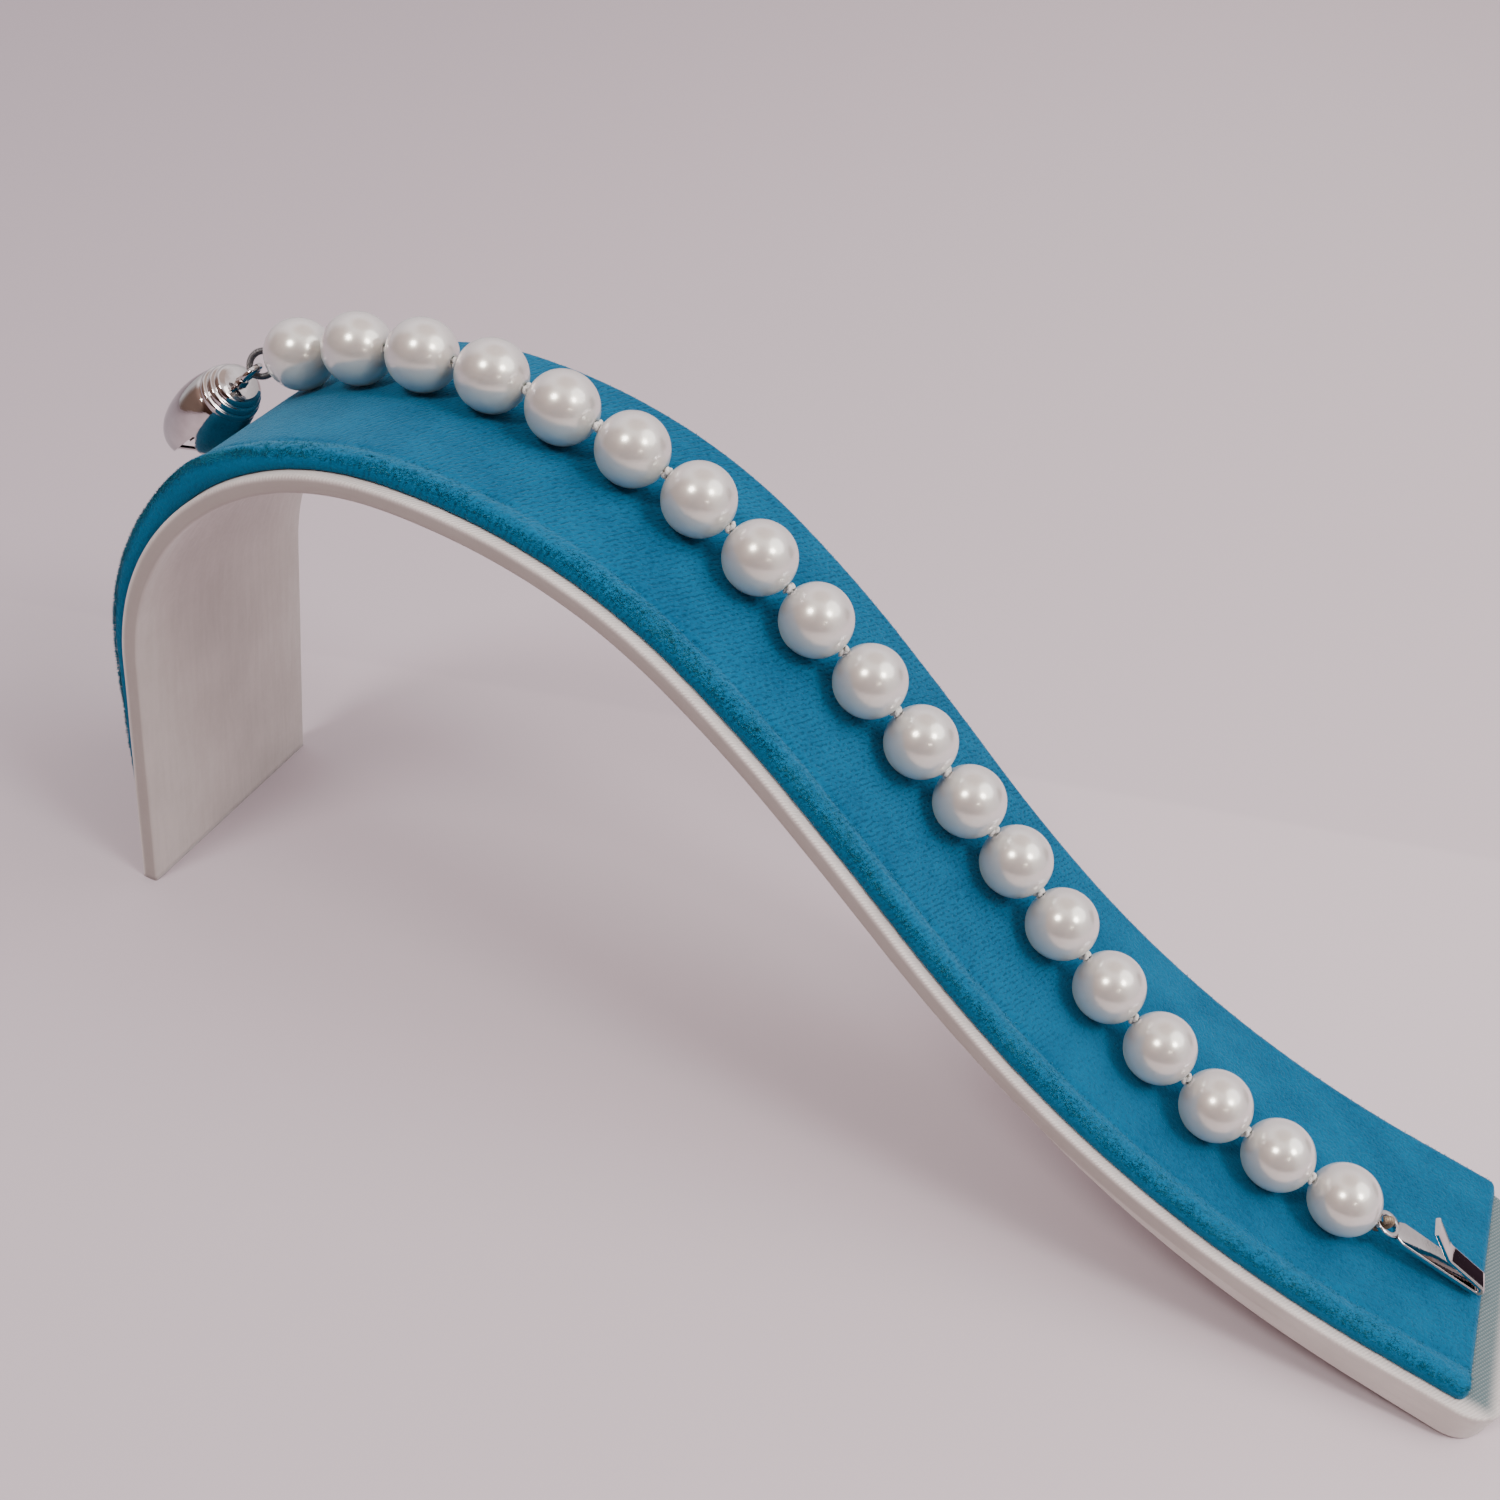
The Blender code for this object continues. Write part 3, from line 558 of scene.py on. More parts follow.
def buildBoard():
    stations = [(run, 0.0, 0.0) for run in np.arange(0.0, rampEnd - board["toeCorner"], board["step"])]
    for angle in np.radians([0, 8, 16, 24, 32, 40, 47, 54, 60, 66, 72, 77, 82, 86, 90]):
        back = board["toeCorner"] * (1 - math.sin(angle))
        inset = board["toeCorner"] * (1 - math.cos(angle))
        depth = max(0.0, 1 - back / board["noseRound"])
        faceInset = board["noseRound"] * (1 - math.sqrt(max(0.0, 1 - depth**2))) * 0.94
        stations.append((rampEnd - back, inset, faceInset))
    coords = np.array([boardRing(*station) for station in stations])
    rows, columns = coords.shape[:2]
    coords = coords.reshape(-1, 3)
    points, out = liftFrom(coords)
    lift = waviness(coords * (1, 1, 3), board["wrinkleSize"], 1) * board["wrinkle"]
    lift *= np.clip(coords[:, 0] / board["calmFoot"], 0, 1)
    lift *= np.where(coords[:, 2] > board["top"] - board["thickness"] / 2, 1.0, -1.0)
    points = points + out * lift[:, None]
    points[:, 2] = np.maximum(points[:, 2], 0.0)
    faces = gridFaces(rows, columns, caps=True)
    thing = meshFromArrays("satin_board", points, faces, satinMaterial, coords=coords)
    return rideRoot(faceOut(thing), "white_satin", "ramp_board")


buildBoard()
print("board made")


velvet = {
    "thickness": 1.2 * mm,
    "start": 14.0 * mm,
    "taper": 20.0 * mm,
    "taperShare": 0.45,
    "nearInset": 1.2 * mm,
    "farInset": -0.15 * mm,
    "gap": 0.3 * mm,
    "round": 0.75 * mm,
    "rise": 1.35 * mm,
    "pileTop": 0.2 * mm,  # pile over the cloth's mean face
    "rollHeight": 0.35 * mm,  # puffed roll along the near edge
    "rollMiddle": 2.7 * mm,
    "rollWidth": 1.1 * mm,
    "groove": 4.5 * mm,  # the dent behind the roll
    "grooveWidth": 0.45 * mm,
    "grooveDepth": 0.22 * mm,
    "pileDepth": 0.09 * mm,
    "step": 0.42 * mm,
    "corner": 1.5 * mm,
    "frontRound": 0.9 * mm,
    "roughEdge": 0.06 * mm,
    "rollStart": 30 * mm,  # the roll and the groove begin past the leg
    "rollGrow": 20 * mm,
    "rollRough": 1.4 * mm,
    "seat": 0.06 * mm,
}
velvetSwell = ((-0.100, 0.00), (-0.070, 0.22), (0.000, 0.30), (0.083, 0.48), (0.114, 0.66), (0.135, 0.89),
               (0.150, 1.00), (0.165, 0.82), (0.190, 0.42), (0.215, 0.10), (0.240, 0.00))
swellShares = np.linspace(-0.2, 1.1, 521)
blur = np.hanning(15)[1:-1]
swellHeights = np.pad(np.interp(swellShares, *zip(*velvetSwell)), len(blur) // 2, mode="edge")
swellHeights = np.convolve(swellHeights, blur / blur.sum(), mode="valid")


def velvetDepth(run):
    # padding and cloth, thinner down the leg and swelling on the slope, and the pile on top
    share = np.minimum(1.0, (np.asarray(run) - velvet["start"]) / velvet["taper"])
    depth = velvet["thickness"] * (velvet["taperShare"] + (1 - velvet["taperShare"]) * share)
    depth = depth + velvet["rise"] * np.interp((run - ramp["leg"]) / ramp["bend"], swellShares, swellHeights)
    return depth, velvet["pileTop"] * np.minimum(1.0, share + 0.3)


def pastLeg(run):
    return np.clip((run - velvet["rollStart"]) / velvet["rollGrow"], 0, 1)


def velvetRing(run):
    full = float(sum(velvetDepth(run)))
    low = board["top"] + velvet["seat"]
    high = low + velvet["gap"] + full
    toFront = velvetEnd - run
    corner = velvet["corner"]
    cut = corner - math.sqrt(max(0.0, corner**2 - max(0.0, corner - toFront) ** 2))
    near = velvet["nearInset"] + cut * 0.7
    far = ramp["width"] - velvet["farInset"] - cut * 0.4
    high -= velvet["frontRound"] * max(0.0, 1 - toFront / velvet["frontRound"]) ** 2
    edge = min(velvet["round"] * full / velvet["thickness"], (high - low) * 0.8)
    across, up = [], []
    for turn in np.radians(np.linspace(180, 96, 7)):
        across.append(near + edge * (1 + math.cos(turn)))
        up.append(high - edge * (1 - math.sin(turn)))
    dense = velvet["groove"] + 2.0 * mm
    top = np.concatenate([np.linspace(near + edge, dense, 26)[:-1], np.linspace(dense, far - edge, 56)])
    across += list(top)
    up += [high] * len(top)
    for turn in np.radians(np.linspace(84, 0, 7)):
        across.append(far - edge * (1 - math.cos(turn)))
        up.append(high - edge * (1 - math.sin(turn)))
    across += [far, far - 0.3 * mm, (near + far) / 2, near + 0.3 * mm, near]
    up += [low + 0.2 * mm, low, low, low, low + 0.2 * mm]
    return np.stack([np.full(len(up), run), across, up], -1)


def buildVelvet():
    runs = list(np.arange(velvet["start"], velvetEnd - 1.5 * mm, velvet["step"]))
    runs += list(velvetEnd - np.array([1.5, 1.2, 0.9, 0.65, 0.45, 0.3, 0.18, 0.08, 0.0]) * mm)
    coords = np.array([velvetRing(run) for run in runs])
    rows, columns = coords.shape[:2]
    coords = coords.reshape(-1, 3)
    points, out = liftFrom(coords)
    above = np.clip((coords[:, 2] - board["top"] - 0.8 * mm) / (0.5 * mm), 0, 1)
    run, across = coords[:, 0], coords[:, 1]
    roll = np.exp(-((across - velvet["rollMiddle"]) / velvet["rollWidth"]) ** 2)
    roll *= (0.75 + 0.35 * waviness(coords * (1, 0.3, 0), 12 * mm, 2)) * pastLeg(run) * velvet["rollHeight"]
    pile = waviness(coords * (1, 1, 0), 0.9 * mm, 3) + 0.7 * waviness(coords * (1, 1, 0), 0.42 * mm, 4)
    pile *= 0.35 + np.exp(-((across - velvet["rollMiddle"]) / velvet["rollRough"]) ** 2)
    dent = np.exp(-((across - velvet["groove"]) / velvet["grooveWidth"]) ** 2)
    dent *= (0.7 + 0.8 * waviness(coords * (1, 0.3, 0), 4 * mm, 6)) * pastLeg(run) * velvet["grooveDepth"]
    points = points + out * (above * (roll - dent + pile * velvet["pileDepth"]))[:, None]
    points[:, 1] += (1 - above) * waviness(coords, 0.7 * mm, 5) * velvet["roughEdge"]
    faces = gridFaces(rows, columns, caps=True)
    thing = meshFromArrays("velvet_cover", points, faces, velvetMaterial, coords=coords)
    return rideRoot(faceOut(thing), "teal_velvet", "velvet_pad")


velvetCover = buildVelvet()


fringe = {
    "near": 4200,
    "far": 4600,
    "front": 900,
    "length": 0.24 * mm,
    "width": 0.07 * mm,
}


def buildSlivers(name, starts, tips, aside, width, leastFlat=0.0):
    # one closed sliver a fibre, from starts to tips, given as run, across and height
    bases, ends = (overRamp(ends[:, 0], ends[:, 2], ends[:, 1]) for ends in (starts, tips))
    ahead = (ends - bases) / np.linalg.norm(ends - bases, axis=1, keepdims=True)
    flat = np.cross(ahead, aside(bases))
    girth = np.linalg.norm(flat, axis=1, keepdims=True)
    flat = np.where(girth < leastFlat, (0.0, 1.0, 0.0), flat / girth)
    side = np.cross(flat, ahead)
    half = width / 2
    points = np.stack([bases + side * half, bases - side * half, bases + flat * half, ends], 1).reshape(-1, 3)
    coords = np.repeat(starts * (1, 1, 0) + (0, 0, 0.3), 4, axis=0)
    coords[3::4, 2] = 1.0  # the velvet gets a paler painted sheen where this nears 1
    faces = []
    for i in range(0, len(points), 4):
        faces += [(i, i + 1, i + 3), (i + 1, i + 2, i + 3), (i + 2, i, i + 3), (i, i + 2, i + 1)]
    thing = meshFromArrays(name, points, faces, velvetMaterial, smooth=False, coords=coords)
    return rideRoot(faceOut(thing), "teal_velvet")


def buildFringe():
    # loose pile standing out along the cut edges
    sides = {  # across, least rise, its spread, and the way out
        "near": (velvet["nearInset"] + 0.12 * mm, 0.25, 0.6, -1.0),
        "far": (ramp["width"] - velvet["farInset"] - 0.12 * mm, 0.3, 0.7, 1.0),
    }
    starts, ways = [], []
    for edge in ("near", "far", "front"):
        for _ in range(fringe[edge]):
            run = rng.uniform(velvet["start"] + 0.3 * mm, velvetEnd - 0.4 * mm)
            level = board["top"] + (velvetDepth(run)[0] + velvet["gap"]) * rng.uniform(0.15, 0.95)
            if edge == "front":
                across = rng.uniform(velvet["nearInset"] + 1.0 * mm, ramp["width"] - 0.8 * mm)
                level = board["top"] + velvet["thickness"] * rng.uniform(0.15, 0.75)
                starts.append((velvetEnd - 0.05 * mm, across, level))
                up = 0.15 + rng.random() * 0.5
                ways.append((1.0, rng.normal(0, 0.35), up))
            else:
                across, least, more, out = sides[edge]
                starts.append((run, across, level))
                ways.append((rng.normal(0, 0.35), out, least + rng.random() * more))
    starts, ways = np.array(starts), np.array(ways)
    ways /= np.linalg.norm(ways, axis=1, keepdims=True)
    lengths = fringe["length"] * rng.uniform(0.45, 1.15, len(starts))[:, None]

    def alongRamp(bases):
        step = overRamp(starts[:, 0] + 0.1 * mm, starts[:, 2], starts[:, 1]) - bases
        return step / np.linalg.norm(step, axis=1, keepdims=True)

    return buildSlivers("velvet_fringe", starts, starts + ways * lengths, alongRamp, fringe["width"], 0.3)


buildFringe()


pile = {
    "roll": 26000,
    "field": 15000,
    "length": 0.38 * mm,
    "width": 0.10 * mm,
    "fieldShare": 0.7,  # pile over the field is shorter and lies flatter
    "rollSpread": 0.95 * mm,
    "sunk": 0.1 * mm,
}


def buildPile():
    # brushed tufts, thick on the roll and sparse over the rest
    count = pile["roll"] + pile["field"]
    run = rng.uniform(velvet["start"] + 1.0 * mm, velvetEnd - 0.5 * mm, count)
    across = np.concatenate([
        velvet["nearInset"] + 0.08 * mm + np.abs(rng.normal(0.9 * mm, pile["rollSpread"], pile["roll"])),
        rng.uniform(velvet["nearInset"] + 1.0 * mm, ramp["width"] - 0.5 * mm, pile["field"]),
    ])
    onRoll = np.arange(count) < pile["roll"]
    full = sum(velvetDepth(run))
    edge = np.minimum(across - velvet["nearInset"], velvet["round"])
    sunk = velvet["round"] - np.sqrt(np.maximum(0, velvet["round"]**2 - (velvet["round"] - edge)**2))
    rollUp = np.exp(-((across - velvet["rollMiddle"]) / velvet["rollWidth"]) ** 2) * velvet["rollHeight"] * 0.75
    rollUp *= pastLeg(run)
    level = board["top"] + velvet["seat"] + velvet["gap"] + full - sunk + rollUp - pile["sunk"]
    where = np.stack([run, across, level], -1)
    nap = waviness(where * (1, 1, 0), 4.5 * mm, 8) * 1.6 + rng.normal(0, 0.5, count)
    nap -= np.where(onRoll, 1.1, 0.9)
    lean = rng.uniform(0.35, 1.0, count)
    rise = rng.uniform(0.3, 0.8, count) * np.where(onRoll, 1.0, 0.4)
    way = np.stack([np.cos(nap) * lean, np.sin(nap) * lean, rise], -1)
    way /= np.linalg.norm(way, axis=1, keepdims=True)
    length = pile["length"] * rng.uniform(0.6, 1.15, count) * np.where(onRoll, 1.0, pile["fieldShare"])
    return buildSlivers("velvet_pile", where, where + way * length[:, None],
                        lambda bases: rng.normal(size=(count, 3)), pile["width"])


buildPile()
print("velvet made")


pearls = {
    "count": 19,
    "radius": 4.0 * mm,
    "hole": 0.5 * mm,
    "sides": 48,
    "bands": 36,
    "unevenness": 0.018 * mm,
    "waveSize": 4.5 * mm,
    "lip": 0.12 * mm,
}


def pearlCentre(name):
    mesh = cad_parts[name].data
    found = {tuple(round(v, 7) for v in vertex.co) for vertex in mesh.vertices}
    return Vector(np.mean(list(found), axis=0))


pearlNames = [f"pearl_{k:02d}" for k in range(1, pearls["count"] + 1)]
centres = [pearlCentre(name) for name in pearlNames]
last = len(centres) - 1
axes = [(centres[min(i + 1, last)] - centres[max(i - 1, 0)]).normalized() for i in range(last + 1)]


def buildPearl(number):
    radius, hole = pearls["radius"], pearls["hole"]
    start = math.asin(hole * 1.16 / radius)
    profile = [(-radius * math.cos(p), radius * math.sin(p))
               for p in np.linspace(start, math.pi - start, pearls["bands"] + 1)]
    lip = radius * math.cos(start)
    profile = [(-lip + pearls["lip"], hole)] + profile + [(lip - pearls["lip"], hole)]
    turn = np.linspace(0, 2 * math.pi, pearls["sides"], endpoint=False)
    points = np.array([(x, r * math.cos(a), r * math.sin(a)) for x, r in profile for a in turn])
    points *= 1 + (pearls["unevenness"] / radius * waviness(points, pearls["waveSize"], 10 + number))[:, None]
    place4 = np.array(frameMatrix(centres[number], axes[number], Vector((0, 1, 0))))
    points = points @ place4[:3, :3].T + place4[:3, 3]
    faces = gridFaces(len(profile), pearls["sides"], closeAlong=True)
    thing = meshFromArrays(f"bead_{number + 1:02d}", points, faces, pearlMaterial)
    return rideRoot(faceOut(thing), "pearl", pearlNames[number])


for pearlNumber in range(pearls["count"]):
    buildPearl(pearlNumber)
print("pearls made")


silk = {
    "thread": 0.25 * mm,
    "knotThread": 0.27 * mm,
    "knotSpread": 0.18 * mm,
    "knotDepth": 0.12 * mm,
    "lay": 2 * math.pi / (0.9 * mm),
    "sides": 12,
    "inHole": 0.9 * mm,
    "steps": 84,
}


def joinTubes(tubes, closedFlags):
    points, faces, offset = [], [], 0
    for rings, closed in zip(tubes, closedFlags):
        rows, columns = rings.shape[:2]
        points.append(rings.reshape(-1, 3))
        part = gridFaces(rows, columns, closeAlong=closed, caps=not closed)
        faces += [tuple(index + offset for index in face) for face in part]
        offset += rows * columns
    return np.concatenate(points), faces


def knotPoint(angle, spin):
    # a trefoil turned round the string by spin
    y = (math.sin(angle) + 2 * math.sin(2 * angle)) * silk["knotSpread"]
    z = (math.cos(angle) - 2 * math.cos(2 * angle)) * silk["knotSpread"]
    return Vector((-math.sin(3 * angle) * silk["knotDepth"],
                   y * math.cos(spin) - z * math.sin(spin), y * math.sin(spin) + z * math.cos(spin)))


def buildSilk():
    tubes, closedFlags = [], []
    inside = pearls["radius"] - silk["inHole"]
    for i in range(last):
        leave, enter = centres[i] + axes[i] * inside, centres[i + 1] - axes[i + 1] * inside
        middle = (centres[i] + axes[i] * pearls["radius"] + centres[i + 1] - axes[i + 1] * pearls["radius"]) / 2
        ahead = (enter - leave).normalized()
        stub = smoothPath([leave, middle - ahead * 0.1 * mm, middle + ahead * 0.1 * mm, enter], 8)
        tubes.append(tubeRings(stub, [silk["thread"]] * len(stub), silk["sides"], silk["lay"], 2, 0.3))
        place4 = frameMatrix(middle, ahead, Vector((0, 1, 0)))
        spin = rng.uniform(0, 2 * math.pi)
        knot = [place4 @ knotPoint(t + spin, spin)
                for t in np.linspace(0, 2 * math.pi, silk["steps"], endpoint=False)]
        tubes.append(tubeRings(knot, [silk["knotThread"]] * len(knot), silk["sides"],
                               silk["lay"], 2, 0.25, closed=True))
        closedFlags += [False, True]
    thing = meshFromArrays("knotted_silk", *joinTubes(tubes, closedFlags), silkMaterial)
    return rideRoot(faceOut(thing), "white_silk", "silk_thread")


buildSilk()
print("silk made")


shell = {
    "length": 14.0 * mm,
    "width": 9.3 * mm,
    "height": 8.3 * mm,
    "wall": 0.55 * mm,
    "sides": 96,
    "past": 20.6 * mm,
    "lift": 0.95 * mm,
    "y": 19.0 * mm,
    "pitch": 50.7,
    "yaw": 2.0,
    "bar": 0.5 * mm,
    "eyeWire": 0.8 * mm,
    "eyeHole": 1.6 * mm,
    "eyeNeck": 1.3 * mm,
    "neck": 1.3 * mm,
    "neckFlare": (1.25, 1.1, 1.0, 0.98, 0.95),
    "ridgesStart": 0.78,
}
shellSections = (
    (0.020, 0.38), (0.055, 0.54), (0.120, 0.71), (0.220, 0.86), (0.350, 0.96), (0.500, 1.00),
    (0.640, 0.965), (0.740, 0.89), (0.780, 0.82), (0.800, 0.845), (0.830, 0.825), (0.845, 0.75),
    (0.865, 0.765), (0.895, 0.735), (0.910, 0.65), (0.930, 0.655), (0.955, 0.61), (0.975, 0.48),
)
mouthOutline = ((-0.30, -0.02), (0.46, -0.13), (0.48, -0.15), (0.46, -0.18), (0.37, -0.25), (0.30, -0.36),
                (0.26, -0.60), (-0.30, -0.60))
barEnds = ((-0.425, -0.265, 0.02), (-0.185, -0.100, -0.435))


def shellFrame():
    run = ramp["leg"] + shell["past"]
    top = board["top"] + velvet["gap"] + velvet["thickness"]
    share = (run - ramp["leg"]) / ramp["bend"]
    rise = velvet["rise"] * float(np.interp(share, *zip(*velvetSwell)))
    height = top + rise + shell["lift"] + shell["height"] / 2
    pitch, yaw = math.radians(shell["pitch"]), math.radians(shell["yaw"])
    ahead = Vector((math.cos(pitch), math.tan(yaw), math.sin(pitch)))
    return frameMatrix(Vector(overRamp(run, height, shell["y"])), ahead, Vector((0, 1, 0)))


def ringPoints(x, halfWidth, halfHeight, sides):
    turn = 2 * math.pi * (np.arange(sides) + 0.5) / sides
    return np.stack([np.full(sides, x), halfWidth * np.cos(turn), halfHeight * np.sin(turn)], -1)


def silverPart(name, rings, place4, closeAlong=False):
    # one closed lump of the clasp from its rings
    rings = np.asarray(rings)
    faces = gridFaces(*rings.shape[:2], closeAlong=closeAlong, caps=not closeAlong)
    thing = faceOut(meshFromArrays(name, rings.reshape(-1, 3), faces, silverMaterial))
    thing.data.transform(place4)
    return thing


def applyBooleans(thing, others):
    for operation, other in others:
        step = thing.modifiers.new(operation.lower(), "BOOLEAN")
        step.operation = operation
        step.object = other
    graph = bpy.context.evaluated_depsgraph_get()
    result = bpy.data.meshes.new_from_object(thing.evaluated_get(graph))
    thing.modifiers.clear()
    thing.data = result
    for _, other in others:
        bpy.data.objects.remove(other, do_unlink=True)
    thing.data.shade_smooth()
    thing.data.set_sharp_from_angle(angle=math.radians(38))
    return thing


def torusRings(centreX, hole, wire, count=48, sides=20):
    rings = []
    for turn in np.linspace(0, 2 * math.pi, count, endpoint=False):
        out = np.array([math.cos(turn), math.sin(turn), 0.0])
        middle = np.array([centreX, 0, 0]) + out * (hole + wire) / 2
        around = np.linspace(0, 2 * math.pi, sides, endpoint=False)[:, None]
        rings.append(middle + wire / 2 * (out * np.cos(around) + np.array([0, 0, 1.0]) * np.sin(around)))
    return np.array(rings)


def buildShell():
    place4 = shellFrame()
    length, width, height, wall = (shell[key] for key in ("length", "width", "height", "wall"))

    def shellRing(share, girth, inset):
        x = (share - 0.5) * length
        return ringPoints(x, width / 2 * girth - inset, height / 2 * girth - inset, shell["sides"])

    outline = smoothPath([np.array(section) for section in shellSections], 6)
    outer = [shellRing(share, girth, 0.0) for share, girth in outline]
    inner = [shellRing(share, girth, wall) for share, girth in outline if share <= shell["ridgesStart"]]
    lastShare, lastGirth = shellSections[-1]
    bottom = shellRing(lastShare - wall / length, lastGirth, wall)
    thing = silverPart("olive_shell", [bottom] + inner[::-1] + outer, place4)
    # the mouth is cut out of the shell and a thin bar crosses it
    mouth = [np.array(((share - 0.5) * length, h * height)) for share, h in mouthOutline]
    curve = np.concatenate([mouth[:1], smoothPath(mouth[1:7], 5), mouth[7:]])
    cutter = [[(x, y, z) for x, z in curve] for y in (-width, width)]
    start, end = (np.array(corner) * (length, width, height) for corner in barEnds)
    bar = tubeRings(np.linspace(start, end, 4), [shell["bar"] / 2] * 4, 16)
    # a soldered neck carries the eye at the ridged end
    cap = (lastShare - 0.5) * length
    neck = np.linspace((cap - wall / 2, 0, 0), (cap + shell["eyeNeck"] - shell["eyeWire"] / 2, 0, 0), 5)
    flare = [shell["neck"] / 2 * girth for girth in shell["neckFlare"]]
    eye = torusRings(cap + shell["eyeNeck"] + shell["eyeHole"] / 2, shell["eyeHole"], shell["eyeWire"])
    applyBooleans(thing, [
        ("DIFFERENCE", silverPart("mouthCutter", cutter, place4)),
        ("UNION", silverPart("mouthBar", bar, place4)),
        ("UNION", silverPart("eyeNeck", tubeRings(neck, flare, 24), place4)),
        ("UNION", silverPart("shellEye", eye, place4, closeAlong=True)),
    ])
    return rideRoot(thing, "polished_white_metal", "clasp_shell")


buildShell()
print("shell made")


tongue = {
    "length": 12.0 * mm,
    "eyeWidth": 3.2 * mm,
    "eyeHole": 2.0 * mm,
    "neckWidth": 2.3 * mm,
    "shoulder": 2.1 * mm,
    "stripWidth": 3.0 * mm,
    "tipWidth": 2.6 * mm,
    "leafWidth": 2.4 * mm,
    "strip": 0.7 * mm,
    "leaf": 0.55 * mm,
    "leafLength": 5.0 * mm,
    "fold": 1.0 * mm,
    "lean": 8.0,
    "tab": 4.3 * mm,
    "tabAngle": 32.0,
    "bevel": 0.16 * mm,
    "reach": 5.6 * mm,
    "sway": 0.7 * mm,
    "drop": 0.25 * mm,
    "slope": -4.7,
    "yaw": 4.1,
}


def tongueFrame():
    stringEnd = frameMatrix(centres[-1], axes[-1], Vector((0, 1, 0)))
    slope, yaw = math.radians(tongue["slope"]), math.radians(tongue["yaw"])
    ahead = Vector((math.cos(slope) * math.cos(yaw), math.cos(slope) * math.sin(yaw), math.sin(slope)))
    eye = Vector((tongue["reach"], tongue["sway"], -tongue["drop"]))
    return stringEnd @ frameMatrix(eye, ahead, Vector((0, 1, 0)))


def tongueRows():
    start = (tongue["eyeHole"] + tongue["eyeWidth"]) / 4
    rows = [(start, 0.0, tongue["neckWidth"], tongue["strip"])]
    rows.append((tongue["shoulder"], 0.0, tongue["stripWidth"], tongue["strip"]))
    for share in (0.3, 0.55, 0.8):
        x = tongue["shoulder"] + (tongue["length"] - tongue["shoulder"]) * share
        width = tongue["stripWidth"] + (tongue["tipWidth"] - tongue["stripWidth"]) * share**2
        rows.append((x, 0.0, width, tongue["strip"]))
    for angle in range(0, 181, 12):
        share = angle / 180
        x = tongue["length"] + tongue["fold"] / 2 * math.sin(math.radians(angle))
        z = tongue["fold"] / 2 * (1 - math.cos(math.radians(angle)))
        rows.append((x, z, tongue["tipWidth"] + (tongue["leafWidth"] - tongue["tipWidth"]) * share,
                     tongue["strip"] + (tongue["leaf"] - tongue["strip"]) * share))
    lean, turn = math.radians(tongue["lean"]), math.radians(tongue["tabAngle"])
    leaf, tab = Vector((-math.cos(lean), math.sin(lean))), Vector((-math.cos(turn), math.sin(turn)))
    corner = Vector((tongue["length"], tongue["fold"])) + leaf * tongue["leafLength"]
    kink = tongue["leaf"] / 2
    for point in (corner - leaf * 3 * kink, corner - leaf * kink, corner + tab * kink, corner + tab * 3 * kink,
                  corner + tab * (tongue["tab"] - kink), corner + tab * tongue["tab"]):
        rows.append((*point, tongue["leafWidth"], tongue["leaf"]))
    return rows


def buildTongue():
    place4 = tongueFrame()
    rows = tongueRows()
    rings = []
    for i, (x, z, width, thickness) in enumerate(rows):
        before, after = rows[max(i - 1, 0)], rows[min(i + 1, len(rows) - 1)]
        ahead = Vector((after[0] - before[0], 0, after[1] - before[1])).normalized()
        out = np.array((-ahead.z, 0, ahead.x))
        rings.append([np.array((x, 0, z)) + np.array((0, y, 0)) + out * n
                      for y, n in roundedOblong(width / 2, thickness / 2, tongue["bevel"], 5)])
    thing = silverPart("folded_tongue", rings, place4)
    hole, rim = tongue["eyeHole"] / 2, tongue["eyeWidth"] / 2
    section = [((hole + rim) / 2 + y, z)
               for y, z in roundedOblong((rim - hole) / 2, tongue["strip"] / 2, tongue["bevel"], 5)]
    turns = np.linspace(0, 2 * math.pi, 64, endpoint=False)
    washer = [[(r * math.cos(a), r * math.sin(a), z) for r, z in section] for a in turns]
    applyBooleans(thing, [("UNION", silverPart("tongueEye", washer, place4, closeAlong=True))])
    return rideRoot(thing, "polished_white_metal", "clasp_tongue")


buildTongue()
print("tongue made")


guard = {
    "leg": ((0.0, 0.66), (0.22, 0.92), (0.4, 1.0), (0.64, 0.9), (0.82, 0.64), (0.94, 0.32), (1.0, 0.0)),
    "gap": 0.5 * mm,
    "coilWire": 0.15 * mm,
    "coilPitch": 0.17 * mm,
    "stepsPerTurn": 12,
    "shellWire": 0.8 * mm,
    "shellSpread": 2.7 * mm,
    "tongueWire": 0.95 * mm,
    "tongueSpread": 2.0 * mm,
}


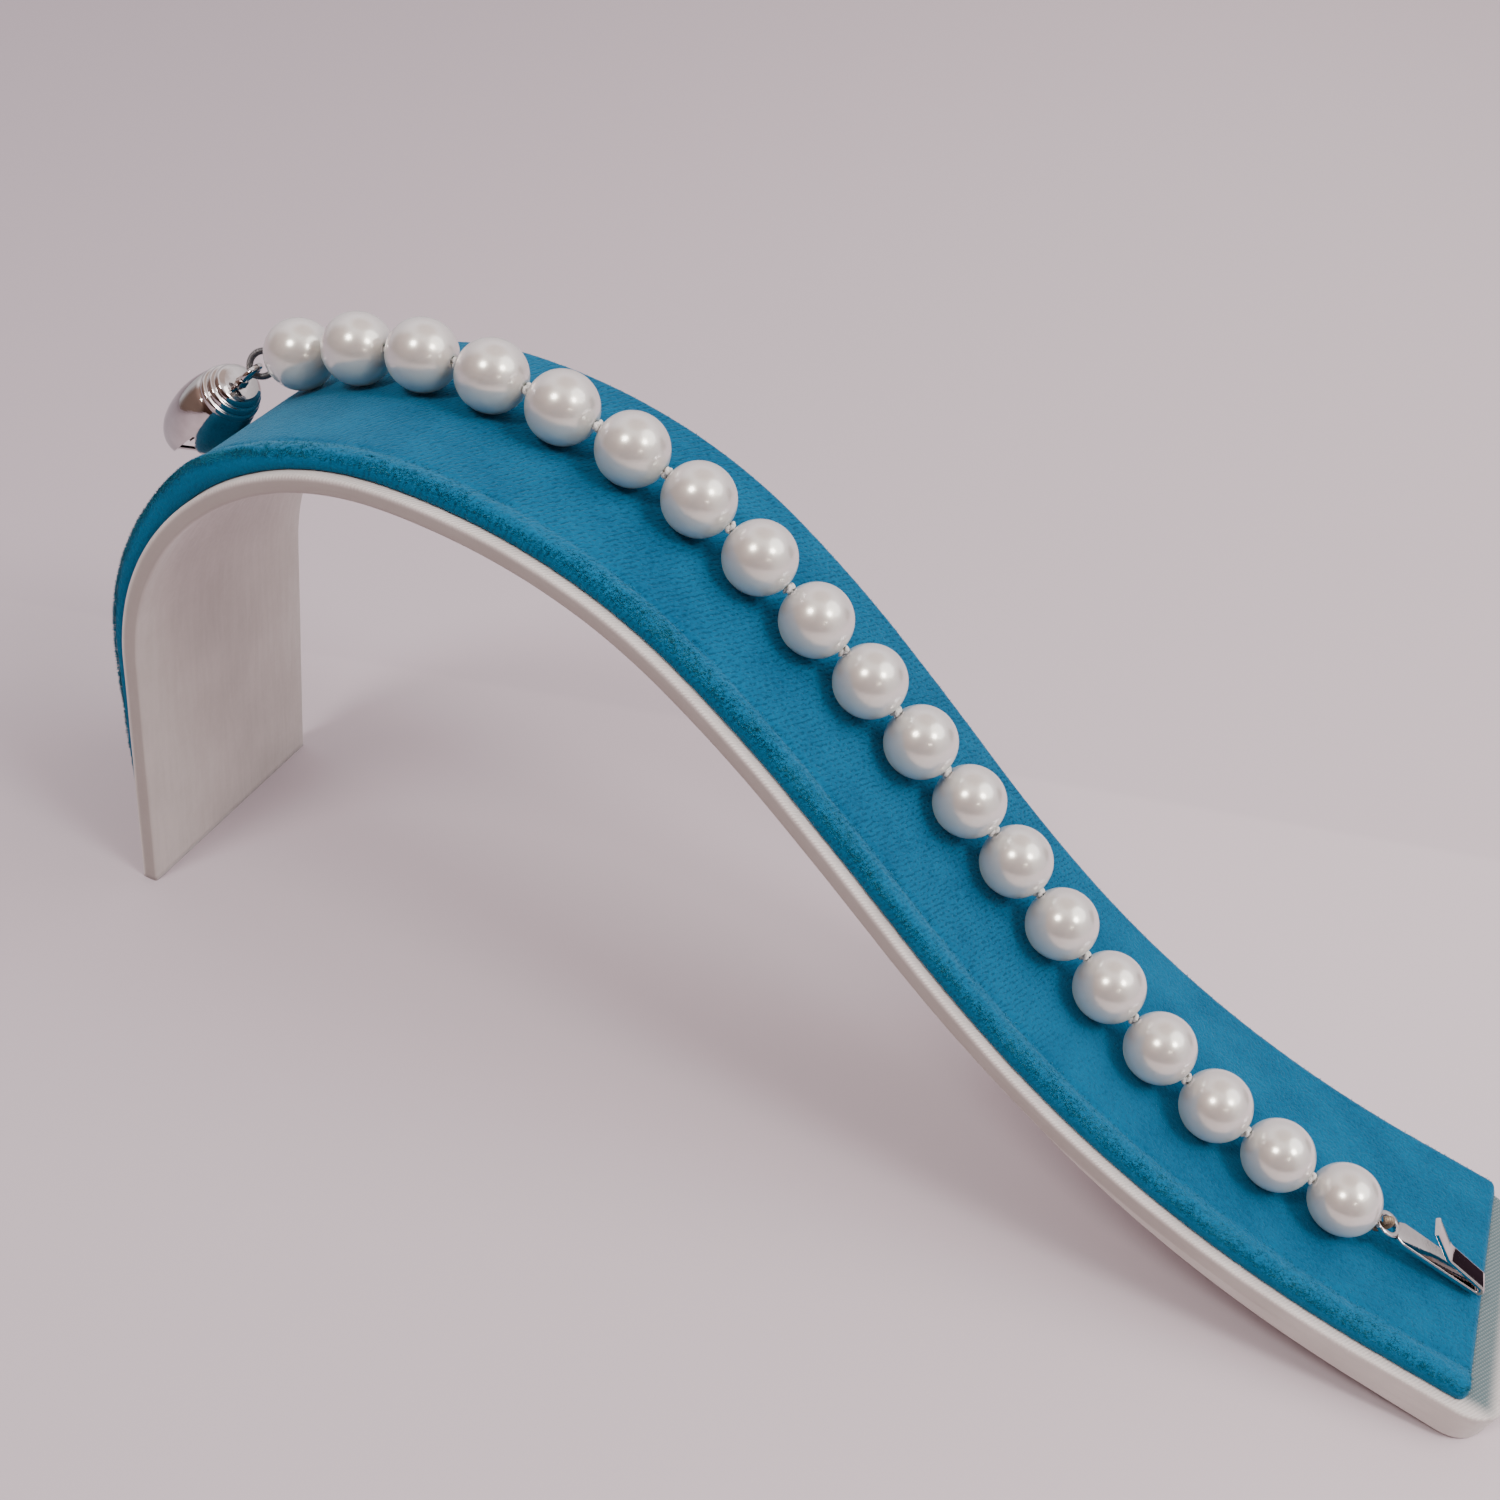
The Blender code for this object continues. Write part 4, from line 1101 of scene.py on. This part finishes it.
def buildGuard(name, node, pearlSide, farEnd, up, wire, spreadWidth, material):
    ahead = farEnd - pearlSide
    up = (up - ahead.normalized() * up.dot(ahead.normalized())).normalized()
    half = list(guard["leg"])
    outline = half + [(share, -rise) for share, rise in half[-2::-1]]
    path = smoothPath([pearlSide + ahead * share + up * rise * spreadWidth / 2 for share, rise in outline], 12)
    gone = np.concatenate([[0], np.cumsum(np.linalg.norm(np.diff(path, axis=0), axis=1))])
    turns = gone[-1] / guard["coilPitch"]
    count = int(turns * guard["stepsPerTurn"])
    fine = np.linspace(0, gone[-1], count)
    line = np.stack([np.interp(fine, gone, path[:, k]) for k in range(3)], -1)
    across = np.array(ahead.cross(up).normalized())
    tangent = np.gradient(line, axis=0)
    tangent /= np.linalg.norm(tangent, axis=1, keepdims=True)
    side = np.cross(tangent, across)
    angle = 2 * math.pi * fine / guard["coilPitch"]
    radius = (wire - guard["coilWire"]) / 2
    helix = line + radius * (np.cos(angle)[:, None] * side + np.sin(angle)[:, None] * across)
    coil = tubeRings(helix, [guard["coilWire"] / 2] * count, 6)
    core = tubeRings(line[::6], [radius] * len(line[::6]), 8)
    thing = meshFromArrays(name, *joinTubes([coil, core], [False, False]), material)
    return rideRoot(faceOut(thing), "coiled_wire", node)


shellPlace, tonguePlace = shellFrame(), tongueFrame()
guardReach = pearls["radius"] + guard["gap"]
shellEyeX = (shellSections[-1][0] - 0.5) * shell["length"] + shell["eyeNeck"] + shell["eyeHole"] / 2
buildGuard("shell_guard_coil", "wire_guard_shell", centres[0] - axes[0] * guardReach,
           shellPlace @ Vector((shellEyeX, 0, 0)), shellPlace.col[2].to_3d(),
           guard["shellWire"], guard["shellSpread"], darkCoilMaterial)
buildGuard("tongue_guard_coil", "wire_guard_tongue", centres[-1] + axes[-1] * guardReach,
           tonguePlace.translation, tonguePlace.col[2].to_3d(),
           guard["tongueWire"], guard["tongueSpread"], beigeCoilMaterial)
print("guards made")


stageLook = {
    "floor": (0.62, 0.525, 0.555, 1),
    "floorPale": (0.60, 0.51, 0.54, 1),
    "floorShade": (0.40, 0.33, 0.37, 1),
    "foldAway": 60.1 * mm,  # where the pale paper is folded behind the ramp
    "toRight": (0.955, 0.295, 0.0),
    "toBack": (-0.295, 0.955, 0.0),
    "shadeSide": (-0.28, 0.16),
    "floorSize": 6.0,
    "room": (0.96, 0.93, 0.96, 1),
    "backdrop": (0.56, 0.48, 0.51, 1),
    "lowStrength": 0.84,
    "highStrength": 1.58,
    "ragged": 0.3,  # how uneven the edges of the room's parts are
}
roomParts = (  # dark parts of the room: direction, cosines of the outer and inner edge, colour
    ((0.20, -0.93, 0.30), 0.45, 0.88, (0.07, 0.035, 0.028, 1)),
    ((-0.76, -0.56, 0.35), 0.64, 0.90, (0.27, 0.18, 0.15, 1)),
    ((-0.07, 0.38, 0.92), 0.86, 0.97, (0.50, 0.41, 0.37, 1)),
    ((0.73, 0.675, 0.12), 0.972, 0.983, (0.05, 0.03, 0.045, 1)),
)


def buildFloor():
    look = stageLook
    material, tree, shader = newMaterial("paleFloor", Roughness=0.85, Specular_IOR_Level=0.2)
    where = place(tree)
    blotches = useGroup(tree, fineGrain, Vector=where, Blotch_size=0.15, Grain_size=4.0 * mm)["Blotches"]
    colour = mixColour(tree, times(tree, blotches, 0.25), look["floor"], look["floorPale"])
    # painted shade: darker to the left and past the fold
    across = vectorNode(tree, "DOT_PRODUCT", where, look["toRight"])
    away = vectorNode(tree, "DOT_PRODUCT", where, look["toBack"])
    leftShade = flip(tree, spread(tree, across, *look["shadeSide"]))
    colour = mixColour(tree, times(tree, leftShade, 0.85), colour, look["floorShade"])
    fold = spread(tree, away, look["foldAway"] - 1.0 * mm, look["foldAway"] + 1.0 * mm)
    colour = mixColour(tree, times(tree, fold, 0.18), colour, look["floorShade"])
    tree.links.new(colour, shader.inputs["Base Color"])
    size = look["floorSize"] / 2
    corners = [(-size, -size, 0), (size, -size, 0), (size, size, 0), (-size, size, 0)]
    meshFromArrays("pale_floor", corners, [(0, 1, 2, 3)], material)


def buildRoom():
    # a pale tent round the object, with the darker things that shine back from metal and pearls
    world = bpy.data.worlds.new("paleRoom")
    world.use_nodes = True
    tree = world.node_tree
    way = addNode(tree, "TexCoord").outputs["Generated"]
    cloud = addNode(tree, "TexNoise", {"Vector": way, "Scale": 3.0, "Detail": 0.0}).outputs[0]
    ragged = mathNode(tree, "MULTIPLY_ADD", cloud, stageLook["ragged"], -stageLook["ragged"] / 2)
    colour = stageLook["room"]
    for toward, outer, inner, dull in roomParts:
        nearness = vectorNode(tree, "DOT_PRODUCT", way, toward)
        nearness = mathNode(tree, "MULTIPLY_ADD", ragged, 1 - outer, nearness)
        colour = mixColour(tree, spread(tree, nearness, outer, inner), colour, dull)
    # over the floor's far edge the room shows plain and pale
    seen = addNode(tree, "LightPath").outputs["Is Camera Ray"]
    colour = mixColour(tree, seen, colour, stageLook["backdrop"])
    background = tree.nodes["Background"]
    tree.links.new(colour, background.inputs["Color"])
    strength = spread(tree, splitVector(tree, way)[2], 0.2, 0.8,
                      stageLook["lowStrength"], stageLook["highStrength"])
    tree.links.new(strength, background.inputs["Strength"])
    bpy.context.scene.world = world


lamps = {
    # place, width, height, watts and colour
    "leftLamp": ((-0.234, -0.519, 0.800), 0.24, 0.24, 4.4, (1.0, 0.99, 0.97)),
    "rightLamp": ((0.61, -0.19, 0.80), 0.24, 0.24, 3.8, (1.0, 0.98, 0.95)),
    "tentSide": ((0.55, 0.15, 0.75), 0.70, 0.70, 4.0, (1.0, 0.99, 0.98)),
    "lowStrip": ((0.204, -0.196, 0.217), 0.066, 0.014, 0.035, (1.0, 0.93, 0.85)),
}
lampTarget = (0, 0, 30 * mm)


def addSoftLight(name):
    location, width, height, power, colour = lamps[name]
    data = bpy.data.lights.new(name, "AREA")
    data.shape, data.size, data.size_y = "ELLIPSE", width, height
    data.energy, data.color = power, colour
    light = bpy.data.objects.new(name, data)
    light.location = location
    light.rotation_mode = "QUATERNION"
    light.rotation_quaternion = (Vector(lampTarget) - Vector(location)).to_track_quat("-Z", "Y")
    light.visible_camera = False
    bpy.context.scene.collection.objects.link(light)


buildFloor()
buildRoom()
for lampName in lamps:
    addSoftLight(lampName)

photoView = {
    "place": (0.036129, -0.151665, 0.168441),
    "turn": (50.958, -7.737, 23.400),
    "sensor": 36.0,
    "lens": 1835.4 / 1500 * 36.0,
}
cameraData = bpy.data.cameras.new("photoCamera")
cameraData.sensor_width, cameraData.lens = photoView["sensor"], photoView["lens"]
cameraData.clip_start = 5 * mm
camera = bpy.data.objects.new("photoCamera", cameraData)
camera.location = photoView["place"]
camera.rotation_euler = [math.radians(angle) for angle in photoView["turn"]]
bpy.context.scene.collection.objects.link(camera)
bpy.context.scene.camera = camera
print("stage made")
